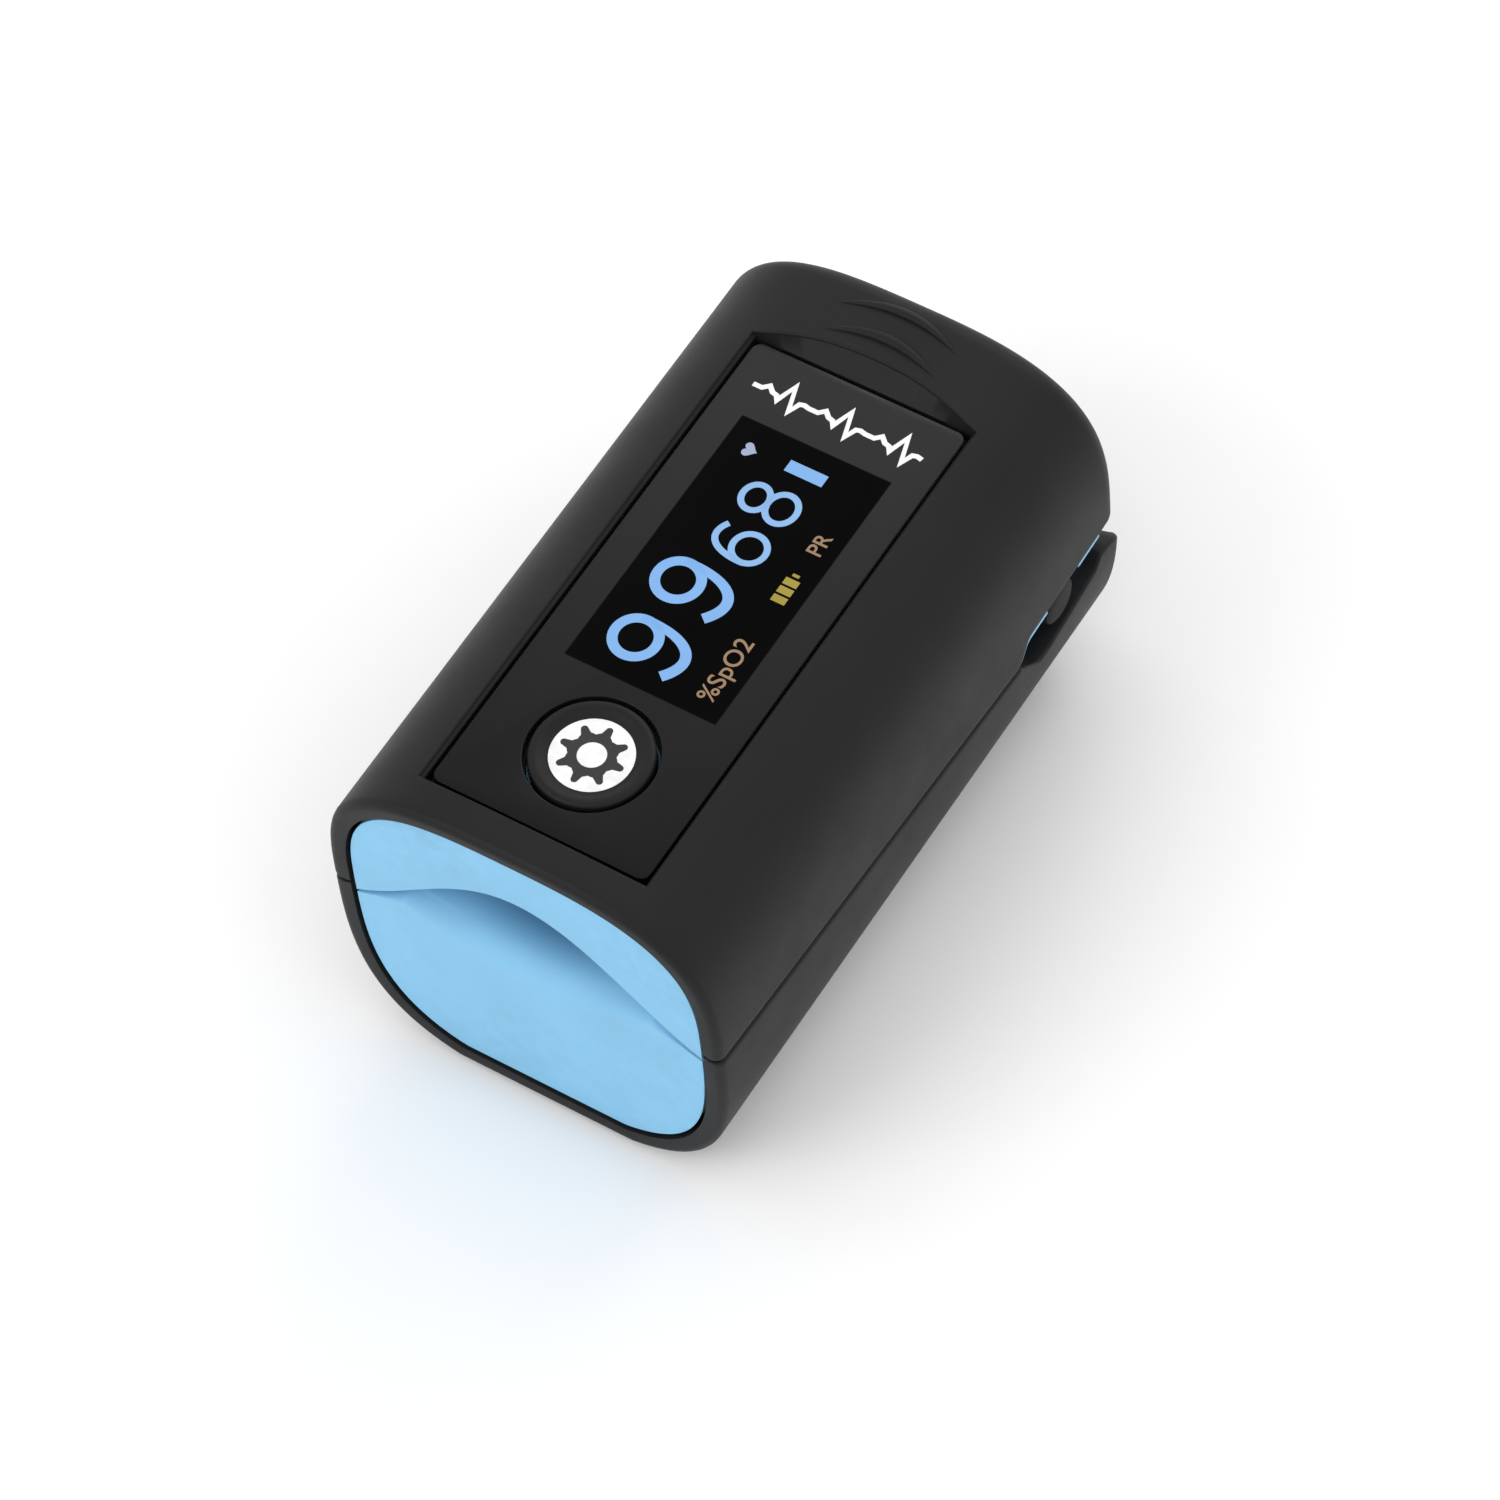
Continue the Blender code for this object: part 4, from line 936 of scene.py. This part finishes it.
def make_lens():
    """The glossy panel lens with its hole for the button."""
    low, high = span("display_lens")
    corners = [(x, y, 0.8) for x, y in ((low.x, low.y), (high.x, low.y), (high.x, high.y),
                                        (low.x, high.y))]
    hole = oval((0, BUTTON_Y), BUTTON_RADIUS + GAP, BUTTON_RADIUS + GAP, 72)
    bm = plate(rounded(corners), [hole], low.z, high.z, 0.12)
    mesh_piece("display_lens_fine", bm, "panel_lens", "upper_half", ("display_lens",), 50)


PRINT_Z = PANEL_TOP_Z + 0.004
PRINT_TOP_Z = PRINT_Z + 0.016


def read_to_frame(u, v):
    """A place on the display, read along +Y with its top toward -X, as an (x, y) place."""
    return -v, u


def band(line, width, closed=False):
    """The two sides of a stroke of even or varying width along a line."""
    count = len(line)
    left, right = [], []
    for index, point in enumerate(line):
        if closed:
            before, after = line[index - 1], line[(index + 1) % count]
        else:
            before, after = line[max(index - 1, 0)], line[min(index + 1, count - 1)]
        here = Vector(point)
        into = (here - Vector(before)).normalized() if here != Vector(before) else None
        out = (Vector(after) - here).normalized() if here != Vector(after) else into
        into = into or out
        along = (into + out).normalized()
        thick = width(index / (count - 1)) if callable(width) else width
        side = Vector((-along.y, along.x)) * thick / 2 / max(along.dot(out), 0.4)
        left.append(Vector(point) + side)
        right.append(Vector(point) - side)
    return left, right


def stroke(bm, line, width, closed=False, turn=read_to_frame):
    """A thin flat stroke lying on the panel."""
    left, right = band(line, width, closed)
    rings = []
    for one, two in zip(left, right):
        (ax, ay), (bx, by) = turn(*one), turn(*two)
        rings.append(row_of(bm, [(ax, ay, PRINT_Z), (bx, by, PRINT_Z), (bx, by, PRINT_TOP_Z),
                                 (ax, ay, PRINT_TOP_Z)]))
    pairs = list(zip(rings, rings[1:]))
    if closed:
        pairs.append((rings[-1], rings[0]))
    for near, far in pairs:
        hoop(bm, near, far)
    if not closed:
        bm.faces.new(rings[0])
        bm.faces.new(rings[-1])


def slab(bm, outline):
    """A thin flat shape lying on the panel."""
    low, high = (row_of(bm, [(*read_to_frame(u, v), z) for u, v in outline])
                 for z in (PRINT_Z, PRINT_TOP_Z))
    hoop(bm, low, high)
    bm.faces.new(low)
    bm.faces.new(high)


def oblong(bm, near_u, low_v, far_u, high_v):
    """A thin flat oblong lying on the panel."""
    slab(bm, [(near_u, low_v), (far_u, low_v), (far_u, high_v), (near_u, high_v)])


def bezier(start, lean, pull, end, count=28):
    """A cubic curve between two points."""
    points = []
    for index in range(count + 1):
        t = index / count
        weights = ((1 - t) ** 3, 3 * t * (1 - t) ** 2, 3 * t * t * (1 - t), t ** 3)
        points.append(tuple(sum(w * p[axis] for w, p in zip(weights, (start, lean, pull, end)))
                            for axis in range(2)))
    return points


# Which way a digit's ring lies, where its tail leaves, leans, pulls and ends, and its swelling
NINE = (1, 0.3, 1.12, 0.75, -0.48, -1.2, 0.75, 0.12)
SIX = (-1, 0.2, 1.1, 0.6, -0.3, -0.95, 0.5, 0.0)


def ringed_digit(bm, shape, u, v, reach, height, width):
    """A nine or a six: its ring and a tail that sweeps from the ring's side round the far end."""
    way, leave_v, lean_u, lean_v, pull_v, end_u, end_v, swelling = shape
    half = (height - width) / 2
    ring_v, far_v = v + way * (half - reach), v - way * half

    def spot(across, base, up):
        return u + way * across * reach, base + way * up * reach

    stroke(bm, oval((u, ring_v), reach, reach), width, True)
    stroke(bm, bezier(spot(1, ring_v, leave_v), spot(lean_u, far_v, lean_v),
                      spot(0.2, far_v, pull_v), spot(end_u, far_v, end_v)),
           lambda t: width * (1 - swelling * math.cos(math.pi * t)))


def digit_eight(bm, u, v, reach, height, width):
    """An eight: a smaller ring over a wider one."""
    top, low = 0.235 * (height - width), 0.265 * (height - width)
    half = (height - width) / 2
    stroke(bm, oval((u, v + half - top), reach * 0.9, top), width, True)
    stroke(bm, oval((u, v - half + low), reach * 1.03, low), width, True)


def lettering(bm, text, u, v, size):
    """A short generic unit label, read along the display, from the built-in typeface."""
    curve = bpy.data.curves.new("label", "FONT")
    curve.body = text
    curve.size = size
    curve.extrude = (PRINT_TOP_Z - PRINT_Z) / 2
    curve.offset = 0.012
    source = placed("label", curve)
    mesh = baked(source)
    for vertex in mesh.vertices:
        flat_u, flat_v, up = vertex.co
        x, y = read_to_frame(u + flat_u, v + flat_v)
        vertex.co = (x, y, (PRINT_Z + PRINT_TOP_Z) / 2 + up)
    bm.from_mesh(mesh)
    bpy.data.objects.remove(source, do_unlink=True)


def graphic(name, skin, draw, *layout):
    """One printed or lit graphic on the panel."""
    bm = bmesh.new()
    draw(bm, *layout)
    mesh_piece(name, bm, "display_glass", "upper_half", skin=skin)


def heart_outline(u, v, size):
    """A heart's outline, its tip downward."""
    points = []
    for index in range(40):
        t = math.tau * index / 40
        across = 16 * math.sin(t) ** 3
        tall = 13 * math.cos(t) - 5 * math.cos(2 * t) - 2 * math.cos(3 * t) - math.cos(4 * t)
        points.append((u + across * size / 32, v + tall * size / 32))
    return points


# Ring, height and stroke of a digit
LARGE_DIGIT = (1.68, 7.05, 0.78)
SMALL_DIGIT = (1.3, 4.9, 0.5)


def make_display():
    """The lit readings and icons, and the printed pulse trace behind the window."""
    blue = lit_finish("display_blue", (0.255, 0.50, 0.90), 1.0)
    light = lit_finish("display_light", (0.30, 0.53, 0.88), 1.0)
    tan = lit_finish("display_tan", (0.42, 0.27, 0.16), 0.9)
    yellow = lit_finish("display_yellow", (0.46, 0.37, 0.07), 0.9)
    pale = lit_finish("display_pale", (0.50, 0.58, 0.80), 0.8)
    white = printed_finish("panel_print", (0.85, 0.85, 0.84))

    graphic("reading_large_tens", blue, ringed_digit, NINE, -7.6, 1.15, *LARGE_DIGIT)
    graphic("reading_large_units", blue, ringed_digit, NINE, -1.9, 1.15, *LARGE_DIGIT)
    graphic("reading_small_tens", light, ringed_digit, SIX, 2.9, 0.5, *SMALL_DIGIT)
    graphic("reading_small_units", light, digit_eight, 7.0, 0.42, *SMALL_DIGIT)
    graphic("pulse_bar", blue, oblong, 10.05, -2.07, 11.1, 1.08)
    graphic("pulse_heart", pale, slab, heart_outline(10.4, 4.2, 1.25))
    graphic("label_saturation", tan, lettering, "%SpO2", -9.85, -5.1, 2.0)
    graphic("label_pulse", tan, lettering, "PR", 4.6, -5.2, 1.75)
    graphic("battery_icon", yellow, battery_icon)
    graphic("pulse_trace", white, pulse_trace)


def battery_icon(bm):
    """A charge gauge with three bars and a nub."""
    for index in range(3):
        u = -0.15 + 0.82 * index
        oblong(bm, u, -5.15, u + 0.62, -4.0)
    oblong(bm, 2.35, -4.85, 2.6, -4.3)


def pulse_trace(bm):
    """A printed line of heartbeats across the panel, behind the display window."""
    beat = [(0.0, 0.0), (0.75, 0.0), (1.2, 0.42), (1.65, 0.0), (2.05, -0.1), (2.3, -0.45),
            (2.9, 1.25), (3.55, -0.95), (3.95, 0.0), (4.3, 0.1)]
    line = []
    for repeat in range(3):
        line += [(-7.1 + 4.75 * repeat + u, 15.65 + v) for u, v in beat]
    stroke(bm, line + [(7.15, 15.65)], 0.4, turn=lambda u, v: (u, v))


DISC_Z = PANEL_TOP_Z - 0.17


def round_button(profile):
    """A profile turned about the button's middle."""
    return turned(profile, (0, BUTTON_Y, 0), segments=96)


def make_button():
    """The button cap with its shallow dish, and the printed disc with an eight-toothed cog."""
    bottom, top = (corner.z for corner in span("power_button"))
    profile = [(0.01, DISC_Z), (3.15, DISC_Z)]
    profile += [(3.15 + 0.95 * step / 8, DISC_Z + (top - DISC_Z) * smooth_step(0, 1, step / 8))
                for step in range(1, 9)]
    profile += [(4.2 + 0.4 * rise, top - 0.4 * (1 - run)) for rise, run in quarter(6)[1:]]
    profile += [(BUTTON_RADIUS, 29.85), (1.1, 29.85), (1.1, bottom), (0.01, bottom)]
    # A near-black ring under the gap round the button: a dark piece put there as painted shade, so the gap
    # reads dark.
    gap_shade_liner = [(3.7, 28.75), (5.0, 28.75), (5.0, 30.1), (4.75, 30.1), (4.75, 29.1), (3.7, 29.1)]
    ring = round_button(gap_shade_liner + [gap_shade_liner[0]])
    bmesh.ops.delete(ring, geom=[face for face in ring.faces if len(face.verts) > 4],
                     context="FACES_ONLY")
    bmesh.ops.remove_doubles(ring, verts=ring.verts, dist=0.0005)
    mesh_piece("button_gap_shade_liner", ring, "charcoal_plastic", "upper_half", skin=SKINS["chip_black"])
    mesh_piece("power_button_fine", round_button(profile), "button_plastic", "power_button",
               ("power_button",), 30)
    white = printed_finish("button_print", (0.86, 0.86, 0.86))
    black = printed_finish("cog_print", (0.012, 0.012, 0.013))
    disc = round_button([(0.01, DISC_Z + 0.02), (3.05, DISC_Z + 0.02), (3.1, DISC_Z + 0.004),
                         (0.01, DISC_Z + 0.003)])
    mesh_piece("button_disc", disc, "white_plastic", "power_button", (), 60, white)
    bm = bmesh.new()
    outer = [(u, v + BUTTON_Y) for u, v in cog_outline()]
    hole = oval((0, BUTTON_Y), 1.08, 1.08, len(outer))
    levels = (DISC_Z + 0.022, DISC_Z + 0.036)
    rows = [[row_of(bm, [(u, v, z) for u, v in line]) for line in (outer, hole)] for z in levels]
    hoop(bm, rows[0][0], rows[1][0])
    hoop(bm, rows[0][1], rows[1][1])
    for level in rows:
        hoop(bm, level[0], level[1])
    mesh_piece("button_cog", bm, "button_plastic", "power_button", skin=black)


def cog_outline():
    """A cog of eight round-ended teeth."""
    points = []
    teeth, body, tip, half_tooth = 8, 1.92, 2.32, 0.27
    for tooth in range(teeth):
        angle = math.tau * tooth / teeth
        along = Vector((math.cos(angle), math.sin(angle)))
        side = Vector((-along.y, along.x))
        for step in range(9):
            turn = math.pi * step / 8 - math.pi / 2
            spot = along * (tip + half_tooth * math.cos(turn)) + side * half_tooth * math.sin(turn)
            points.append(tuple(spot))
        valley = angle + math.tau / teeth / 2
        for step in range(-3, 4):
            bend = valley + step / 3 * 0.2
            points.append((body * math.cos(bend) * 0.97 ** (3 - abs(step)),
                           body * math.sin(bend) * 0.97 ** (3 - abs(step))))
    return points


# ---------------------------------------------------------------- hinge

def wire(line, thickness, sides=12):
    """A round wire along a line of points, as a bmesh in millimetres."""
    points = [Vector(point) for point in line]
    rings = []
    normal = None
    for index, point in enumerate(points):
        along = (points[min(index + 1, len(points) - 1)] - points[max(index - 1, 0)]).normalized()
        if normal is None:
            normal = along.orthogonal().normalized()
        normal = (normal - along * normal.dot(along)).normalized()
        other = along.cross(normal)
        ring = []
        for step in range(sides):
            angle = math.tau * step / sides
            ring.append(point + (normal * math.cos(angle) + other * math.sin(angle)) * thickness / 2)
        rings.append(ring)
    return loft(rings)


def spring_line(side):
    """Centre line of a torsion spring: a leg, the coils about the pin and the other leg."""
    first, last = math.radians(-66), math.radians(95)
    radius, pitch, start_x = 1.85, 0.9, 8.3
    sweep = math.tau * 4 - (last - first)
    steps = 160
    points = []
    for step in range(steps + 1):
        angle = first - sweep * step / steps
        x = side * (start_x + pitch * (sweep / math.tau) * step / steps)
        points.append(Vector((x, PIVOT.y + radius * math.cos(angle), PIVOT.z + radius * math.sin(angle))))
    lower_reach, upper_reach = 3.3, 4.8
    lower = Vector((0, -math.sin(first), math.cos(first))) * lower_reach
    upper = Vector((0, math.sin(last), -math.cos(last))) * upper_reach
    lower_leg = [points[0] + lower * share for share in (1.0, 0.75, 0.5, 0.25)]
    upper_leg = [points[-1] + upper * share for share in (0.25, 0.5, 0.75, 1.0)]
    return lower_leg + points + upper_leg


def make_hinge():
    """The pin, its caps, the torsion springs about the pin and the ribbon past them."""
    refined("hinge_pin", "lower_half", "spring_steel", 0.0)
    for side, suffix in SIDES:
        low, high = span("hinge_cap" + suffix)
        radius = (high.z - low.z) / 2
        inner_x, outer_x = (high.x, low.x) if side < 0 else (low.x, high.x)
        profile = [(0.01, inner_x), (radius, inner_x), (radius, outer_x - side * 0.3),
                   (radius - 0.1, outer_x - side * 0.1), (radius - 0.3, outer_x),
                   (0.6, outer_x + side * 0.02), (0.01, outer_x + side * 0.03)]
        # The caps wear the near-black chip finish, darker than the shell, as painted shade inside the side
        # slots.
        mesh_piece("hinge_cap%s_fine" % suffix, turned(profile, (0, PIVOT.y, PIVOT.z), "X", 48),
                   "charcoal_plastic", "lower_half", ("hinge_cap" + suffix,), 35,
                   SKINS["chip_black"])
        line = spring_line(side)
        made = mesh_piece("torsion_spring%s_fine" % suffix, wire(line, 0.8), "spring_steel", None,
                          ("torsion_spring" + suffix,), 60)
        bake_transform(made)
    flex = mesh_piece("hinge_flex_fine", flex_mesh(), "ribbon_film", None, ("hinge_flex",), 60)
    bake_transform(flex)


def flex_mesh():
    """The film ribbon from the detector up past the hinge to the main board."""
    thickness = 0.16
    route = rounded([(SENSOR_Y + 3.3, 14.1, 0), (13.6, 14.1, 1.6), (15.2, 20.0, 3.0),
                     (15.8, 27.3, 0)], 12)
    left, right = band(evenly(route, 90), thickness)
    return loft([[(-2, one.x, one.y), (2, one.x, one.y), (2, two.x, two.y), (-2, two.x, two.y)]
                 for one, two in zip(left, right)])


# ---------------------------------------------------------------- power

BARE_END_RADIUS = 4.0


def make_cells():
    """Two AAA cells with crimped sleeves, each with its nub and its flat end."""
    for flip, suffix in SIDES:
        low, high = span("battery" + suffix)
        centre_x, centre_z = (low.x + high.x) / 2, (low.z + high.z) / 2
        flat_y, nub_y = (high.y, low.y) if flip < 0 else (low.y, high.y)
        radius = (high.x - low.x) / 2
        length = abs(nub_y - flat_y)
        profile = [(0.01, 0.0), (3.9, 0.0), (4.1, 0.12), (radius - 0.35, 0.1), (radius - 0.08, 0.28),
                   (radius, 0.6), (radius, length - 1.5), (radius - 0.1, length - 1.15),
                   (radius - 0.4, length - 0.95), (radius - 0.9, length - 0.95), (2.2, length - 0.9),
                   (1.95, length - 0.75), (1.9, length - 0.15), (1.75, length), (0.01, length)]
        bm = turned([(r, flat_y + flip * h) for r, h in profile], (centre_x, 0, centre_z), "Y", 64)
        made = mesh_piece("battery%s_fine" % suffix, bm, "cell_sleeve", "lower_half",
                          ("battery" + suffix,), 30)
        made.data.materials.append(SKINS["nickel_contact"])
        for face in made.data.polygons:
            distance = math.hypot(face.center.x / MM - centre_x, face.center.z / MM - centre_z)
            if distance < BARE_END_RADIUS:
                face.material_index = 1


# ---------------------------------------------------------------- the rest of the model

REFINED = (
    ("upper_half", "sky_plastic", 0.15, "upper_frame"),
    ("lower_half", "sky_plastic", 0.12, "lower_frame"),
    ("battery_door", "charcoal_plastic", 0.14, "battery_door"),
    ("upper_half", "display_glass", 0.0, "oled_display"),
    ("upper_half", "ribbon_film", 0.0, "display_flex"),
    ("upper_half", "circuit_board", 0.05, "main_board"),
    ("upper_half", "chip_black", 0.06, "microcontroller boost_inductor"),
    ("upper_half", "nickel_contact", 0.08, "crystal"),
    ("upper_half", "white_plastic", 0.08, "led_emitter"),
    ("upper_half", "clear_window", 0.1, "emitter_window"),
    ("lower_half", "clear_window", 0.1, "detector_window"),
    ("lower_half", "circuit_board", 0.05, "detector_board"),
    ("lower_half", "chip_black", 0.08, "photodiode"),
    ("upper_half", "nickel_contact", 0.05, "tactile_switch"),
    ("power_button", "white_plastic", 0.08, "switch_plunger"),
    ("lower_half", "nickel_contact", 0.08,
     "contact_bridge contact_plate_negative contact_plate_positive"),
    ("lower_half", "nickel_contact", 0.0, "contact_spring_front contact_spring_rear"),
    ("lower_half", "spring_steel", 0.06, "screw_lower_left screw_lower_right"),
    ("upper_half", "spring_steel", 0.06, "screw_upper_left screw_upper_right"),
)


# ---------------------------------------------------------------- studio

FLOOR_REACH = 1500.0
FLOOR_Z = -0.2
LIGHT_TARGET = Vector((0, 0, 0.015))
VIEW_AZIMUTH = 36.68
VIEW_ELEVATION = 55.69
VIEW_ROLL = -6.18
VIEW_DISTANCE = 0.5
VIEW_TARGET = Vector((-0.00083, 0.00205, 0.0057))
VIEW_LENS = 161.1


def make_camera():
    """The camera at the product shot's viewing angle, a little rolled."""
    azimuth, elevation, roll = (math.radians(a) for a in (VIEW_AZIMUTH, VIEW_ELEVATION, VIEW_ROLL))
    back = Vector((math.sin(azimuth) * math.cos(elevation), -math.cos(azimuth) * math.cos(elevation),
                   math.sin(elevation)))
    right = Vector((math.cos(azimuth), math.sin(azimuth), 0))
    up = back.cross(right)
    turned_right = right * math.cos(roll) + up * math.sin(roll)
    turned_up = up * math.cos(roll) - right * math.sin(roll)
    lens = bpy.data.cameras.new("camera")
    lens.lens = VIEW_LENS
    lens.sensor_width = 36.0
    lens.clip_start = 0.01
    lens.clip_end = 20.0
    made = placed("camera", lens)
    pose = Matrix((turned_right, turned_up, back)).transposed().to_4x4()
    pose.translation = VIEW_TARGET + back * VIEW_DISTANCE
    made.matrix_world = pose
    bpy.context.scene.camera = made


def area_light(name, place, size, power):
    """A soft panel of light aimed at the object."""
    lamp = bpy.data.lights.new(name, "AREA")
    lamp.shape = "RECTANGLE"
    lamp.size, lamp.size_y = size
    lamp.energy = power
    made = placed(name, lamp)
    made.location = place
    made.rotation_mode = "QUATERNION"
    made.rotation_quaternion = (LIGHT_TARGET - Vector(place)).to_track_quat("-Z", "Y")


def make_studio():
    """A pale floor, an even bright surround and three soft panels."""
    bm = bmesh.new()
    bmesh.ops.create_grid(bm, x_segments=8, y_segments=8, size=FLOOR_REACH)
    bmesh.ops.translate(bm, vec=(0, 0, FLOOR_Z), verts=bm.verts)
    mesh_piece("studio_floor", bm, None, None, skin=floor_finish())
    world = bpy.data.worlds.new("studio")
    bpy.context.scene.world = world
    world.use_nodes = True
    surround = world.node_tree.nodes["Background"]
    surround.inputs["Color"].default_value = (1.0, 1.0, 1.0, 1.0)
    surround.inputs["Strength"].default_value = SURROUND
    area_light("key_light", (-0.25, -0.45, 0.45), (0.35, 0.35), 0.9)
    area_light("fill_light", (0.5, -0.1, 0.35), (0.3, 0.4), 0.15)
    area_light("rear_light", (0.0, 0.5, 0.4), (0.5, 0.2), 0.7)
    bpy.context.scene.view_settings.view_transform = "Standard"


def main():
    """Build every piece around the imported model."""
    make_upper_shell()
    make_lower_shell()
    pad("upper_finger_pad", True)
    pad("lower_finger_pad", False)
    make_seam_lip()
    make_slot_trim()
    make_lens()
    make_display()
    make_button()
    make_hinge()
    make_cells()
    for body, slot, width, nodes in REFINED:
        for node in nodes.split():
            refined(node, body, slot, width)
    make_studio()
    make_camera()


main()
